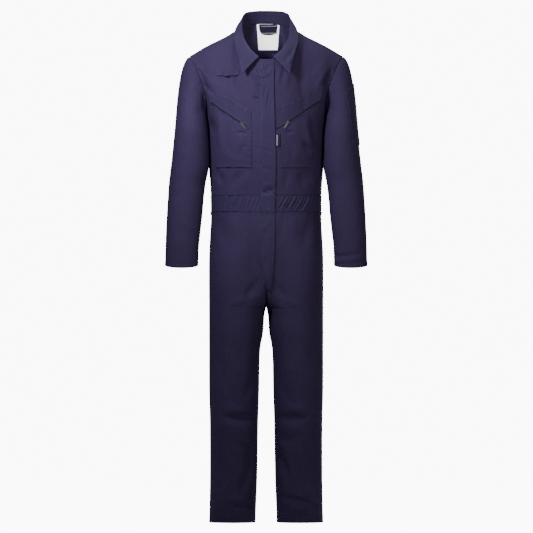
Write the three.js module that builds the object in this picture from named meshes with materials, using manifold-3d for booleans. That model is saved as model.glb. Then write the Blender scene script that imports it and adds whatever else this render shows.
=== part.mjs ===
import * as THREE from 'three';
import Module from 'manifold-3d';
import { mergeVertices } from 'three/addons/utils/BufferGeometryUtils.js';

// A worn boiler suit, empty, in millimetres. +Z is up and the front faces -Y, so +X is the wearer's left.
// The origin is on the shoulders, at the middle of the neck.

// Cloth, and the gaps that part its pieces
const clothThickness = 1.6;
const tapeThickness = 1.1;
const labelThickness = 0.8;
const seamGap = 0.3;
const halfGap = seamGap / 2;
const layGap = 0.6;

// Heights of the seams that run round the body
const chestLine = -270;
const bandTop = -476;
const bandBottom = -523;
const crotch = -806;
const hem = -1442;
const frontForkTop = -705;
const rearForkTop = -670;
const forkSide = 0.12;
const outerSide = 0.56;

// How square the sections are: 2 is an ellipse
const bodySquareness = 2.15;
const legSquareness = 2.15;
const sleeveSquareness = 2.1;

// Body sections: half width, the front's and the back's depth, and the depth where the body is widest
const bodySections = [
  { z: -270, half: 175.2, front: -132, rear: 114, wide: 20 },
  { z: -330, half: 173.2, front: -130, rear: 112, wide: 18 },
  { z: -390, half: 169.5, front: -123, rear: 108, wide: 12 },
  { z: -430, half: 166, front: -118, rear: 105, wide: 8 },
  { z: -476, half: 163.5, front: -114, rear: 103, wide: 5 },
  { z: -523, half: 162.8, front: -113, rear: 105, wide: 5 },
  { z: -560, half: 164, front: -114, rear: 111, wide: 6 },
  { z: -600, half: 166.4, front: -115, rear: 119, wide: 7 },
  { z: -650, half: 169, front: -115, rear: 127, wide: 8 },
  { z: -720, half: 169.6, front: -113, rear: 129, wide: 8 },
  { z: -806, half: 169.3, front: -109, rear: 124, wide: 8 },
];

// Leg sections: the outer and inner edges, and the depths as above
const legSections = [
  { z: -523, outer: 162.8, inner: 0.2, front: -113, rear: 105, wide: 5 },
  { z: -560, outer: 164, inner: 0.2, front: -114, rear: 111, wide: 6 },
  { z: -600, outer: 166.4, inner: 0.3, front: -115, rear: 119, wide: 7 },
  { z: -650, outer: 169, inner: 0.5, front: -115, rear: 127, wide: 8 },
  { z: -720, outer: 169.6, inner: 0.8, front: -113, rear: 129, wide: 8 },
  { z: -806, outer: 169.3, inner: 1.2, front: -109, rear: 124, wide: 8 },
  { z: -830, outer: 169.3, inner: 5.2, front: -107, rear: 121, wide: 8 },
  { z: -880, outer: 169.3, inner: 8.8, front: -103, rear: 113, wide: 7 },
  { z: -932, outer: 169.2, inner: 17.6, front: -99, rear: 105, wide: 6 },
  { z: -1050, outer: 169, inner: 20.6, front: -95, rear: 92, wide: 2 },
  { z: -1146, outer: 166.6, inner: 23.6, front: -93, rear: 84, wide: -3 },
  { z: -1310, outer: 166.4, inner: 26.4, front: -82, rear: 83, wide: 0 },
  { z: -1442, outer: 168.6, inner: 31.6, front: -77, rear: 79, wide: 2 },
];

// Upper front, from the centre (u 0) to the armhole (u 1): where each lengthwise line ends on the
// neckline or shoulder seam, how it leaves the chest line, and how it meets that seam
const frontLines = [
  { u: 0, x: 0, y: -99, z: -74, riseX: 0, riseY: 2, riseZ: 196, meetX: 0, meetY: 45, meetZ: 190 },
  { u: 0.12, x: 23, y: -96, z: -71, riseX: -2, riseY: 0, riseZ: 205, meetX: -8, meetY: 60, meetZ: 200 },
  { u: 0.25, x: 51, y: -76, z: -47, riseX: -4, riseY: -4, riseZ: 230, meetX: -25, meetY: 105, meetZ: 200 },
  { u: 0.35, x: 71, y: -38, z: -14, riseX: -6, riseY: -10, riseZ: 255, meetX: -38, meetY: 165, meetZ: 180 },
  { u: 0.4375, x: 77.5, y: 2, z: 16, riseX: -6, riseY: -18, riseZ: 270, meetX: -40, meetY: 215, meetZ: 140 },
  { u: 0.6, x: 123, y: 3, z: -6.4, riseX: 0, riseY: -70, riseZ: 240, meetX: -8, meetY: 215, meetZ: 95 },
  { u: 0.8, x: 177, y: 1, z: -33.4, riseX: 2, riseY: -165, riseZ: 215, meetX: 18, meetY: 205, meetZ: 95 },
  { u: 1, x: 227, y: -2, z: -63, riseX: -40, riseY: -215, riseZ: 190, meetX: 105, meetY: 190, meetZ: 140 },
];

// Upper back, in the same way
const backLines = [
  { u: 0, x: 0, y: 77, z: 37.5, riseX: 0, riseY: 14, riseZ: 300, meetX: 0, meetY: -75, meetZ: 250 },
  { u: 0.12, x: 26, y: 74, z: 35.4, riseX: -2, riseY: 14, riseZ: 298, meetX: -10, meetY: -85, meetZ: 245 },
  { u: 0.25, x: 52, y: 58, z: 30, riseX: -4, riseY: 14, riseZ: 290, meetX: -25, meetY: -120, meetZ: 220 },
  { u: 0.35, x: 70, y: 32, z: 21.8, riseX: -6, riseY: 18, riseZ: 280, meetX: -38, meetY: -170, meetZ: 170 },
  { u: 0.4375, x: 77.5, y: 2, z: 16, riseX: -6, riseY: 25, riseZ: 272, meetX: -40, meetY: -215, meetZ: 140 },
  { u: 0.6, x: 123, y: 3, z: -6.4, riseX: 0, riseY: 70, riseZ: 240, meetX: -8, meetY: -215, meetZ: 95 },
  { u: 0.8, x: 177, y: 1, z: -33.4, riseX: 2, riseY: 150, riseZ: 215, meetX: 18, meetY: -205, meetZ: 95 },
  { u: 1, x: 227, y: -2, z: -63, riseX: -34, riseY: 190, riseZ: 190, meetX: 105, meetY: -190, meetZ: 140 },
];
const neckPoint = 0.4375;

// Sleeve rings below the armhole: outer and inner edges, middle depth, half depth and the front's dip
const sleeveRings = [
  { z: -300, outer: 272.5, inner: 171.2, mid: -24, deep: 70, dip: 0 },
  { z: -345, outer: 277, inner: 169, mid: -25, deep: 68, dip: 0 },
  { z: -390, outer: 282, inner: 170.8, mid: -26, deep: 66, dip: 0 },
  { z: -435, outer: 287.4, inner: 177.6, mid: -27, deep: 63, dip: 0 },
  { z: -482, outer: 290.7, inner: 183.8, mid: -29, deep: 60, dip: 0 },
  { z: -530, outer: 293.6, inner: 187.8, mid: -33, deep: 57, dip: 1 },
  { z: -577, outer: 296, inner: 193, mid: -39, deep: 53, dip: 3 },
  { z: -625, outer: 297.5, inner: 198.2, mid: -45, deep: 49, dip: 6 },
  { z: -681, outer: 299, inner: 200.5, mid: -51, deep: 44, dip: 9 },
];

// How the sleeve leaves the armhole, from the shoulder (s 0) by the front to the underarm (s 0.5)
const sleeveHead = [
  { s: 0, goX: 100, goY: -5, goZ: -62 },
  { s: 0.12, goX: 84, goY: -42, goZ: -66 },
  { s: 0.25, goX: 52, goY: -52, goZ: -64 },
  { s: 0.38, goX: 24, goY: -24, goZ: -30 },
  { s: 0.5, goX: 14, goY: 2, goZ: -6 },
  { s: 0.62, goX: 26, goY: 22, goZ: -28 },
  { s: 0.75, goX: 58, goY: 46, goZ: -60 },
  { s: 0.88, goX: 86, goY: 34, goZ: -64 },
  { s: 1, goX: 100, goY: -5, goZ: -62 },
];
const underarmTurn = THREE.MathUtils.degToRad(37);
const sleeveClearance = 1.2;
const armholeGap = 0.75;
const underarmRise = 12;
const ringStep = 10;

// The largest folds of the cloth seen from the front: a soft trough (depth below 0) or ridge
const frontFolds = [
  { name: 'right knee break', x: -90, z: -1134, angle: 2, long: 70, wide: 15, depth: -3.6 },
  { name: 'right knee ridge', x: -92, z: -1106, angle: 2, long: 66, wide: 17, depth: 2.6 },
  { name: 'left knee break', x: 92, z: -1134, angle: -2, long: 70, wide: 15, depth: -3.6 },
  { name: 'left knee ridge', x: 92, z: -1106, angle: -2, long: 66, wide: 17, depth: 2.6 },
  { name: 'right calf crescent', x: -62, z: -1252, angle: 62, long: 62, wide: 15, depth: -2.6 },
  { name: 'left calf crescent', x: 60, z: -1262, angle: -55, long: 62, wide: 15, depth: -2.6 },
  { name: 'right hem fold', x: -68, z: -1392, angle: 9, long: 44, wide: 12, depth: -2.4 },
  { name: 'left hem fold', x: 100, z: -1378, angle: -9, long: 66, wide: 12, depth: -2.4 },
  { name: 'right side of the waist', x: -110, z: -440, angle: 12, long: 60, wide: 14, depth: -2.2 },
  { name: 'left side of the waist', x: 110, z: -444, angle: -14, long: 60, wide: 14, depth: -2.2 },
];
const rearFolds = [
  { name: 'right back knee', x: -96, z: -1120, angle: 4, long: 66, wide: 15, depth: -4 },
  { name: 'left back knee', x: 96, z: -1124, angle: -6, long: 66, wide: 15, depth: -4 },
  { name: 'right back calf', x: -90, z: -1300, angle: -14, long: 58, wide: 14, depth: -2.6 },
  { name: 'left back calf', x: 96, z: -1286, angle: 12, long: 58, wide: 14, depth: -2.6 },
  { name: 'small of the back, right', x: -70, z: -436, angle: 10, long: 80, wide: 14, depth: -2.6 },
  { name: 'small of the back, left', x: 76, z: -430, angle: -8, long: 80, wide: 14, depth: -2.6 },
];

// The folds are gone this near the side seams' depth and whole this far from it
const sideDepth = 5;
const foldsGone = 4;
const foldsWhole = 70;

// Waistband gathers: from and to as a share of the way from the centre to the side, and how many
const gathers = {
  frontRight: { from: 0.05, to: 0.72, count: 9, depth: 1.5, slant: 0.012 },
  frontLeft: { from: 0.1, to: 0.68, count: 9, depth: 1.5, slant: -0.012 },
  back: { from: -0.9, to: 0.9, count: 24, depth: 1.5, slant: 0.006 },
};
const bandProud = 0.9;

// How steeply the gathers and the proud face fade at a group's ends, the side seam and the centre
const gatherFade = 6;
const sideFade = 20;
const centreFade = 40;
const centreFlat = 0.03;

// One place round the collar, from the middle of the back (s 0) to its front end (s 1)
function collarStation(s, seam, roll, edge) {
  const [seamX, seamY, seamZ] = seam;
  const [rollX, rollY, rollZ] = roll;
  const [edgeX, edgeY, edgeZ] = edge;
  return { s, seamX, seamY, seamZ, rollX, rollY, rollZ, edgeX, edgeY, edgeZ };
}

// The collar's places, each with its seam, roll line and free edge
const collarStations = [
  collarStation(0, [0, 77, 37.5], [0, 71, 75], [0, 92, 6]),
  collarStation(0.2, [30, 72.5, 34.5], [33, 65, 74], [44, 88, 4]),
  collarStation(0.4, [60, 48, 26.8], [59.5, 46, 68.5], [80, 57, 3]),
  collarStation(0.52, [73, 24, 19.5], [69, 22, 57], [88, 28, 13]),
  collarStation(0.62, [77, -6, 12], [73.5, -5, 37], [92, -8, 15]),
  collarStation(0.75, [71, -38, -14], [67, -44, -6], [94, -52, -17]),
  collarStation(0.88, [51, -76, -47], [46, -82, -43], [82, -90, -62]),
  collarStation(1, [23, -98, -69.5], [20.5, -105, -67], [68.5, -121, -115.5]),
];
const collarRollRadius = 2.3;
const collarBow = 2.5;
const collarFallSteps = 5;
const collarRollSteps = 4;
const collarMiddle = -8;
const collarSeamLift = 0.9;
const collarWall = 1.5;
const collarOffShoulder = 2.7;
const neckEdge = 77;
const shoulderEnd = 226;

// Front placket, over the main zip: its sewn and free edges down the front
const placketLine = [
  { z: -82, sewn: -15.4, free: 22.2 },
  { z: -160, sewn: -15.4, free: 23 },
  { z: -252, sewn: -15.4, free: 24.6 },
  { z: -360, sewn: -15.4, free: 27.6 },
  { z: -420, sewn: -15.4, free: 27.4 },
  { z: -503, sewn: -15.6, free: 24.6 },
  { z: -575, sewn: -18.2, free: 25 },
  { z: -648, sewn: -20.2, free: 23.4 },
  { z: -690, sewn: -14, free: 19.6 },
  { z: -728, sewn: -5, free: 15.4 },
  { z: -752, sewn: 3, free: 9.4 },
];

const placketLift = 0.1;
const placketOverBand = 3.1;
const bandReach = 6;

// Chest pockets: the band's upper seam and the zip's middle line on each side, from the arm inwards
const chest = {
  right: {
    side: -1,
    bandTop: [{ x: 168, z: -157.5 }, { x: 107, z: -189.4 }, { x: 74.6, z: -210 }, { x: 44, z: -226 }],
    zipLine: [{ x: 167, z: -197 }, { x: 132.6, z: -223.5 }, { x: 71, z: -264 }, { x: 44, z: -282 }],
    zipEnd: 66,
    slider: { x: 70.4, z: -263.6 },
  },
  left: {
    side: 1,
    bandTop: [{ x: 168, z: -149.5 }, { x: 97, z: -191 }, { x: 60, z: -207 }, { x: 29.5, z: -218.5 }],
    zipLine: [{ x: 167, z: -190 }, { x: 118, z: -224 }, { x: 63, z: -262 }, { x: 29.5, z: -284 }],
    zipEnd: 57,
    slider: { x: 62.2, z: -261.4 },
  },
};
const zipSlot = 8.7;
const zipTapeWidth = 8.1;
const pocketInner = 43;
const pocketTopOuter = 153;
const pocketBottomOuter = 147;
const pocketBottom = -392.8;
const chestArmEnd = 163;

// Zip slider and its pull tab
const slider = {
  wide: 7, long: 10, plate: 1.8, corner: 2, archLong: 7.2, archWide: 2.4, archBar: 1.1, archOpen: 1.8,
  archCorner: 0.85, openCorner: 0.5,
};
const tab = {
  wide: 5.6, long: 20, thick: 1.1, bar: 1.1, corner: 0.5, windowWide: 3.5, windowEnd: 4.3, windowCorner: 0.4,
  gripFrom: 15.4, gripEnd: 18.4, gripWide: 2.6, gripCorner: 0.8,
};
const cornerSegments = 2;
const tabSlope = THREE.MathUtils.degToRad(55);
const tabLift = 0.75;

// Radio loop on the wearer's right chest
const radioLoop = {
  from: -145, to: -79.5, top: -103.5, bottom: -122.5, lift: 0.9,
  bow: 2.2, topBow: 0.4, sag: 1.5, openFrom: 0.1, openLong: 0.75,
};

// Labels and the hanger loop inside the back of the neck
const careLabel = { left: -27.8, right: 39.4, taper: 5.5, top: 35.1, bottom: -42, twist: 0.6 };
const neckLabel = { left: -15.4, right: 32, top: 34.5, bottom: 5.9 };
const hangerLoop = { left: -21, right: 33.5, top: 34.3, bottom: 2, wide: 5.5, sideBow: 0.55, dropBow: 0.7 };
const neckSeamCurve = { depth: 0.0075, drop: 0.0035 };
const belowNeckSeam = 1.2;
const neckLayers = { careLabel: 2.3, hangerLoop: 4.8, neckLabel: 6.3 };
const sideLabel = { from: 29.4, to: 39.6, top: -294.5, bottom: -333 };

// Pen pocket on the left sleeve, in shares of the way round (s) and of the sleeve head (v)
const penPocket = { frontEdge: 0.135, rearEdge: -0.1, top: 0.44, bottom: 1.07 };

// Colours
const clothColour = 0x37325a;
const bandColour = 0x332e54;
const trimColour = 0x2b2746;
const labelColour = 0xe9e9ec;
const metalColour = 0xb8bac0;

function clothFinish(colour) {
  return new THREE.MeshStandardMaterial({ color: colour, roughness: 0.9, metalness: 0 });
}

function metalFinish() {
  return new THREE.MeshStandardMaterial({ color: metalColour, roughness: 0.35, metalness: 1 });
}

// A smooth curve through a table's rows: every column at one value of its key
function sample(rows, key, at) {
  const last = rows.length - 1;
  const rising = rows[last][key] > rows[0][key];
  let low = 0;
  while (low < last - 1 && (rising ? at > rows[low + 1][key] : at < rows[low + 1][key])) {
    low += 1;
  }
  const span = rows[low + 1][key] - rows[low][key];
  const t = THREE.MathUtils.clamp((at - rows[low][key]) / span, 0, 1);
  const slope = (row, name) => {
    const before = rows[Math.max(row - 1, 0)];
    const after = rows[Math.min(row + 1, last)];
    return ((after[name] - before[name]) / (after[key] - before[key])) * span;
  };
  const result = {};
  for (const name of Object.keys(rows[0])) {
    if (typeof rows[0][name] !== 'number') {
      continue;
    }
    result[name] = hermite(rows[low][name], rows[low + 1][name], slope(low, name), slope(low + 1, name), t);
  }
  return result;
}

function hermite(start, end, leave, arrive, t) {
  const t2 = t * t;
  const t3 = t2 * t;
  const places = start * (2 * t3 - 3 * t2 + 1) + end * (3 * t2 - 2 * t3);
  return places + leave * (t3 - 2 * t2 + t) + arrive * (t3 - t2);
}

// A straight run between a table's rows
function line(rows, key, name, at) {
  let low = 0;
  const falling = rows[0][key] > rows[rows.length - 1][key];
  while (low < rows.length - 2 && (falling ? at < rows[low + 1][key] : at > rows[low + 1][key])) {
    low += 1;
  }
  const t = (at - rows[low][key]) / (rows[low + 1][key] - rows[low][key]);
  return rows[low][name] + (rows[low + 1][name] - rows[low][name]) * t;
}

function power(value, squareness) {
  return Math.pow(Math.max(value, 0), 2 / squareness);
}

// How far the soft folds move the cloth at a place seen from the front or back
function foldDepth(folds, x, z) {
  let depth = 0;
  for (const fold of folds) {
    const angle = THREE.MathUtils.degToRad(fold.angle);
    const along = (x - fold.x) * Math.cos(angle) + (z - fold.z) * Math.sin(angle);
    const across = (z - fold.z) * Math.cos(angle) - (x - fold.x) * Math.sin(angle);
    depth += fold.depth * Math.exp(-((along / fold.long) ** 2) - ((across / fold.wide) ** 2));
  }
  return depth;
}

// The folds die out towards the side seams
function foldFade(y) {
  return THREE.MathUtils.smoothstep(Math.abs(y - sideDepth), foldsGone, foldsWhole);
}

// Body section: u runs from the centre to the side seam; facing is -1 for the front and 1 for the back
function bodyPoint(facing, u, z) {
  const section = sample(bodySections, 'z', z);
  const depth = facing < 0 ? section.front : section.rear;
  const edge = section.wide + facing * halfGap;
  const turn = (u * Math.PI) / 2;
  const x = halfGap + (section.half - halfGap) * power(Math.sin(turn), bodySquareness);
  const y = edge + (depth - edge) * power(Math.cos(turn), bodySquareness);
  return new THREE.Vector3(x, y, z);
}

// Leg section: u runs from the inner seam to the outer seam
function legPoint(facing, u, z) {
  const section = sample(legSections, 'z', z);
  const middle = (section.outer + section.inner) / 2;
  const half = (section.outer - section.inner) / 2;
  const depth = facing < 0 ? section.front : section.rear;
  const edge = section.wide + facing * halfGap;
  const turn = (u - 0.5) * Math.PI;
  const x = middle + half * Math.sign(turn) * power(Math.abs(Math.sin(turn)), legSquareness);
  const y = edge + (depth - edge) * power(Math.cos(turn), legSquareness);
  return new THREE.Vector3(x, y, z);
}

// Trousers: the body's section turns into the leg's, sharply round the fork and slowly down the side
function trouserPoint(facing, u, z) {
  const point = legPoint(facing, u, z);
  if (z <= crotch) {
    return point;
  }
  const forkTop = facing < 0 ? frontForkTop : rearForkTop;
  const share = THREE.MathUtils.clamp((forkTop - z) / (forkTop - crotch), 0, 1);
  const fork = 1 - Math.sqrt(1 - share * share);
  const slow = THREE.MathUtils.smoothstep(bandBottom - z, 0, bandBottom - crotch);
  const outward = THREE.MathUtils.smoothstep(u, forkSide, outerSide);
  const section = sample(bodySections, 'z', z);
  const edge = section.wide + facing * halfGap;
  const depth = facing < 0 ? section.front : section.rear;
  const across = Math.min(1, point.x / section.half);
  const bodyY = edge + (depth - edge) * Math.pow(1 - Math.pow(across, bodySquareness), 1 / bodySquareness);
  point.y = THREE.MathUtils.lerp(bodyY, point.y, THREE.MathUtils.lerp(fork, slow, outward));
  return point;
}

// Upper body above the chest line: v runs from 0 on that line to 1 on the neckline or shoulder seam
function upperPoint(facing, u, v) {
  const start = bodyPoint(facing, u, chestLine);
  const lines = facing < 0 ? frontLines : backLines;
  const top = sample(lines, 'u', u);
  if (u > neckPoint) {
    top.y = line(lines, 'u', 'y', u);
  }
  return new THREE.Vector3(
    hermite(start.x, top.x + halfGap, top.riseX, top.meetX, v),
    hermite(start.y, top.y + facing * halfGap, top.riseY, top.meetY, v),
    hermite(start.z, top.z, top.riseZ, top.meetZ, v),
  );
}

// One panel's point at a height share: below 0 is under the chest line, in millimetres
function torsoPoint(facing, u, v) {
  return v < 0 ? bodyPoint(facing, u, chestLine + v) : upperPoint(facing, u, v);
}

// Where a panel lies behind a place seen straight from the front or back
function placeOnPanel(facing, x, z) {
  const solveU = (pointAt) => {
    let low = 0;
    let high = 1;
    for (let step = 0; step < 22; step += 1) {
      const middle = (low + high) / 2;
      if (pointAt(middle).x < x) {
        low = middle;
      } else {
        high = middle;
      }
    }
    return (low + high) / 2;
  };
  if (z < bandBottom) {
    const pointAt = (u) => trouserPoint(facing, u, z);
    return pointAt(solveU(pointAt));
  }
  if (z < chestLine) {
    const pointAt = (u) => bodyPoint(facing, u, z);
    return pointAt(solveU(pointAt));
  }
  const pointAt = (u) => {
    let low = 0;
    let high = 1;
    for (let step = 0; step < 18; step += 1) {
      const middle = (low + high) / 2;
      if (upperPoint(facing, u, middle).z < z) {
        low = middle;
      } else {
        high = middle;
      }
    }
    return upperPoint(facing, u, (low + high) / 2);
  };
  return pointAt(solveU(pointAt));
}

// The outer surface of the body, folds included, at a signed place seen from the front or back
function onBody(facing, x, z) {
  const point = placeOnPanel(facing, Math.max(Math.abs(x), halfGap), z);
  const folds = facing < 0 ? frontFolds : rearFolds;
  return new THREE.Vector3(x, point.y + facing * foldDepth(folds, x, z) * foldFade(point.y), z);
}

// Unit normal of a grid of points, along which the wall gets its thickness
function gridNormals(points, closed) {
  const columns = points.length;
  const rows = points[0].length;
  return points.map((column, i) => column.map((point, j) => {
    const before = closed ? points[(i + columns - 1) % columns][j] : points[Math.max(i - 1, 0)][j];
    const after = closed ? points[(i + 1) % columns][j] : points[Math.min(i + 1, columns - 1)][j];
    const below = column[Math.max(j - 1, 0)];
    const above = column[Math.min(j + 1, rows - 1)];
    const across = after.clone().sub(before);
    const along = above.clone().sub(below);
    return across.cross(along).normalize();
  }));
}

// A cloth wall over a grid of points. The outer face is moved out by lift + thickness, the inner by lift.
function wallGeometry(points, options) {
  const { thickness = clothThickness, lift = -clothThickness, flip = false, adjust } = options;
  const columns = points.length;
  const rows = points[0].length;
  const normals = options.normals ?? gridNormals(points, false);
  const positions = [];
  const outer = [];
  const inner = [];
  for (let i = 0; i < columns; i += 1) {
    outer.push([]);
    inner.push([]);
    for (let j = 0; j < rows; j += 1) {
      const normal = flip ? normals[i][j].clone().negate() : normals[i][j].clone();
      if (adjust) {
        adjust(normal, i, j, points[i][j]);
      }
      const low = points[i][j].clone().addScaledVector(normal, lift);
      const high = points[i][j].clone().addScaledVector(normal, lift + thickness);
      inner[i].push(positions.length / 3);
      positions.push(low.x, low.y, low.z);
      outer[i].push(positions.length / 3);
      positions.push(high.x, high.y, high.z);
    }
  }
  const faces = [];
  const quad = (a, b, c, d) => (flip ? faces.push(a, c, b, a, d, c) : faces.push(a, b, c, a, c, d));
  const last = columns - 1;
  for (let i = 0; i < last; i += 1) {
    const next = i + 1;
    for (let j = 0; j < rows - 1; j += 1) {
      quad(outer[i][j], outer[next][j], outer[next][j + 1], outer[i][j + 1]);
      quad(inner[i][j], inner[i][j + 1], inner[next][j + 1], inner[next][j]);
    }
    quad(inner[i][0], inner[next][0], outer[next][0], outer[i][0]);
    quad(outer[i][rows - 1], outer[next][rows - 1], inner[next][rows - 1], inner[i][rows - 1]);
  }
  for (let j = 0; j < rows - 1; j += 1) {
    quad(outer[0][j], outer[0][j + 1], inner[0][j + 1], inner[0][j]);
    quad(inner[last][j], inner[last][j + 1], outer[last][j + 1], outer[last][j]);
  }
  const geometry = new THREE.BufferGeometry();
  geometry.setAttribute('position', new THREE.Float32BufferAttribute(positions, 3));
  geometry.setIndex(faces);
  geometry.computeVertexNormals();
  return geometry;
}

// A grid of points from a function of two shares, each 0 to 1
function grid(columns, rows, pointAt) {
  const points = [];
  for (let i = 0; i <= columns; i += 1) {
    points.push([]);
    for (let j = 0; j <= rows; j += 1) {
      points[i].push(pointAt(i / columns, j / rows));
    }
  }
  return points;
}

// The same grid on the other side of the body
function mirrored(points) {
  return points.map((column) => column.map((point) => new THREE.Vector3(-point.x, point.y, point.z)));
}

function foldPanel(points, facing) {
  const folds = facing < 0 ? frontFolds : rearFolds;
  for (const column of points) {
    for (const point of column) {
      point.y += facing * foldDepth(folds, point.x, point.z) * foldFade(point.y);
    }
  }
  return points;
}

function named(name, geometry, material) {
  const mesh = new THREE.Mesh(geometry, material);
  mesh.name = name;
  return mesh;
}

// At a seam the wall's thickness lies in the seam's own plane, so two pieces meet cleanly
function torsoEdges(rows, uAt) {
  return (normal, i, j) => {
    const u = uAt(i);
    const v = torsoShare(j / rows);
    if (u < 0.001) {
      normal.x = 0;
    }
    if ((u > 0.999 && v <= 0) || (j === rows && u >= neckPoint - 0.08)) {
      normal.y = 0;
    }
    normal.normalize();
  };
}

function legEdges(columns) {
  return (normal, i, j, point) => {
    const isOuter = i === columns;
    const isInner = i === 0;
    if (isInner && Math.abs(point.z - crotch) < 1) {
      normal.set(0, 0, -1);
    } else if (isOuter || (isInner && point.z < crotch)) {
      normal.y = 0;
    } else if (isInner) {
      normal.x = 0;
    }
    normal.normalize();
  };
}

// Upper fronts and back
const upperRows = 9;
const lowerRows = 7;
const lowerHeight = bandTop + seamGap - chestLine;
const torsoShare = (share) => {
  const row = share * (upperRows + lowerRows);
  return row < lowerRows ? lowerHeight * (1 - row / lowerRows) : (row - lowerRows) / upperRows;
};

function frontPanel(side) {
  const columns = 16;
  const rows = upperRows + lowerRows;
  const points = grid(columns, rows, (u, share) => torsoPoint(-1, u, torsoShare(share)));
  const placed = foldPanel(side < 0 ? mirrored(points) : points, -1);
  const adjust = torsoEdges(rows, (i) => i / columns);
  return wallGeometry(placed, { flip: side < 0, adjust });
}

function backPanel() {
  const columns = 22;
  const rows = upperRows + lowerRows;
  const points = grid(columns, rows, (share, rowShare) => {
    const signed = 1 - 2 * share;
    const point = torsoPoint(1, Math.abs(signed), torsoShare(rowShare));
    point.x = signed === 0 ? 0 : point.x * Math.sign(signed);
    return point;
  });
  const adjust = torsoEdges(rows, (i) => Math.abs(1 - (2 * i) / columns));
  return wallGeometry(foldPanel(points, 1), { adjust });
}

// Trouser panels: rows crowd together where the fork turns under
function legHeights(facing) {
  const forkTop = facing < 0 ? frontForkTop : rearForkTop;
  const heights = [];
  const seatRows = 5;
  const forkRows = 5;
  const shinRows = 13;
  const top = bandBottom - seamGap;
  for (let row = 0; row < seatRows; row += 1) {
    heights.push(top + ((forkTop - top) * row) / seatRows);
  }
  for (let row = 0; row < forkRows; row += 1) {
    heights.push(forkTop + (crotch - forkTop) * Math.sin((row / forkRows) * (Math.PI / 2)));
  }
  for (let row = 0; row <= shinRows; row += 1) {
    heights.push(crotch + ((hem - crotch) * row) / shinRows);
  }
  return heights.reverse();
}

function legPanel(facing, side) {
  const columns = 9;
  const heights = legHeights(facing);
  const points = grid(columns, heights.length - 1, (share, rowShare) => {
    const row = Math.round(rowShare * (heights.length - 1));
    const point = trouserPoint(facing, share, heights[row]);
    point.x = Math.max(point.x, halfGap);
    return point;
  });
  const placed = foldPanel(side < 0 ? mirrored(points) : points, facing);
  return wallGeometry(placed, { flip: side * facing > 0, adjust: legEdges(columns) });
}

// Waistband: its outer face stands a little proud, in waves where the elastic gathers it
function gatherWave(place, gather, heightShare) {
  const share = (place - gather.from - gather.slant * (heightShare - 0.5) * 2) / (gather.to - gather.from);
  if (share <= 0 || share >= 1) {
    return 0;
  }
  const fade = Math.min(1, Math.min(share, 1 - share) * gatherFade);
  return gather.depth * fade * (0.5 - 0.5 * Math.cos(share * gather.count * 2 * Math.PI));
}

function bandPiece(facing, fromShare, toShare, gather, columns) {
  const rows = 2;
  const points = grid(columns, rows, (share, rowShare) => {
    const place = fromShare + (toShare - fromShare) * share;
    const z = bandBottom + seamGap / 2 + (bandTop - bandBottom - seamGap) * rowShare;
    const point = bodyPoint(facing, Math.abs(place), z);
    point.x *= place < 0 ? -1 : 1;
    const middle = 1 - Math.abs(rowShare - 0.5);
    const proud = bandProud + gatherWave(gather.mirror ? -place : place, gather, rowShare) * middle;
    const away = new THREE.Vector2(point.x, point.y).normalize();
    const nearCentre = facing < 0 ? Math.abs(place) : 1;
    const edge = Math.min(1, (1 - Math.abs(place)) * sideFade, nearCentre * centreFade);
    point.x += nearCentre < centreFlat ? 0 : away.x * proud * edge;
    point.y += away.y * proud * edge;
    return point;
  });
  return wallGeometry(points, {});
}

// Sleeves: the head runs from the armhole to the first ring, and the rings go on to the cuff
function ringPoint(angle, z) {
  const ring = sample(sleeveRings, 'z', z);
  const middle = (ring.outer + ring.inner) / 2;
  const half = (ring.outer - ring.inner) / 2;
  const across = Math.cos(angle);
  const ahead = Math.sin(angle);
  const x = middle + half * Math.sign(across) * power(Math.abs(across), sleeveSquareness);
  const y = ring.mid - ring.deep * Math.sign(ahead) * power(Math.abs(ahead), sleeveSquareness);
  return new THREE.Vector3(x, y, z - ring.dip * Math.max(ahead, 0));
}

function armholePoint(s) {
  const facing = s <= 0.5 ? -1 : 1;
  const v = s <= 0.5 ? 1 - s * 2 : s * 2 - 1;
  return upperPoint(facing, 1, v);
}

// Which way the sleeve leaves the armhole seam, square to it
function armholeOutward(s, head) {
  const step = 0.01;
  const along = armholePoint(Math.min(s + step, 1)).sub(armholePoint(Math.max(s - step, 0))).normalize();
  const go = new THREE.Vector3(head.goX, head.goY, head.goZ);
  return go.addScaledVector(along, -go.dot(along)).normalize();
}

function sleeveAngle(s) {
  return 2 * Math.PI * s + underarmTurn * Math.sin(Math.PI * s) ** 2;
}

// The sleeve lies against the side of the body without touching it
function clearOfBody(point) {
  if (point.z > chestLine + underarmRise) {
    return point;
  }
  const section = sample(bodySections, 'z', Math.min(point.z, chestLine));
  const depth = point.y < section.wide ? section.front : section.rear;
  const share = Math.min(1, Math.abs((point.y - section.wide) / (depth - section.wide)));
  const side = section.half * Math.pow(1 - Math.pow(share, bodySquareness), 1 / bodySquareness);
  point.x = Math.max(point.x, side + sleeveClearance);
  return point;
}

function sleevePoint(s, v) {
  const turn = s - Math.floor(s);
  const angle = sleeveAngle(turn);
  const firstRing = sleeveRings[0].z;
  if (v > 1) {
    const lastRing = sleeveRings[sleeveRings.length - 1].z;
    return clearOfBody(ringPoint(angle, firstRing + (lastRing - firstRing) * (v - 1)));
  }
  const head = sample(sleeveHead, 's', turn);
  const outward = armholeOutward(turn, head);
  const start = armholePoint(turn).addScaledVector(outward, armholeGap);
  const end = ringPoint(angle, firstRing);
  const below = ringPoint(angle, firstRing - ringStep);
  const reach = start.distanceTo(end);
  const arrive = below.sub(end).normalize().multiplyScalar(reach);
  return clearOfBody(new THREE.Vector3(
    hermite(start.x, end.x, head.goX, arrive.x, v),
    hermite(start.y, end.y, head.goY, arrive.y, v),
    hermite(start.z, end.z, head.goZ, arrive.z, v),
  ));
}

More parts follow.
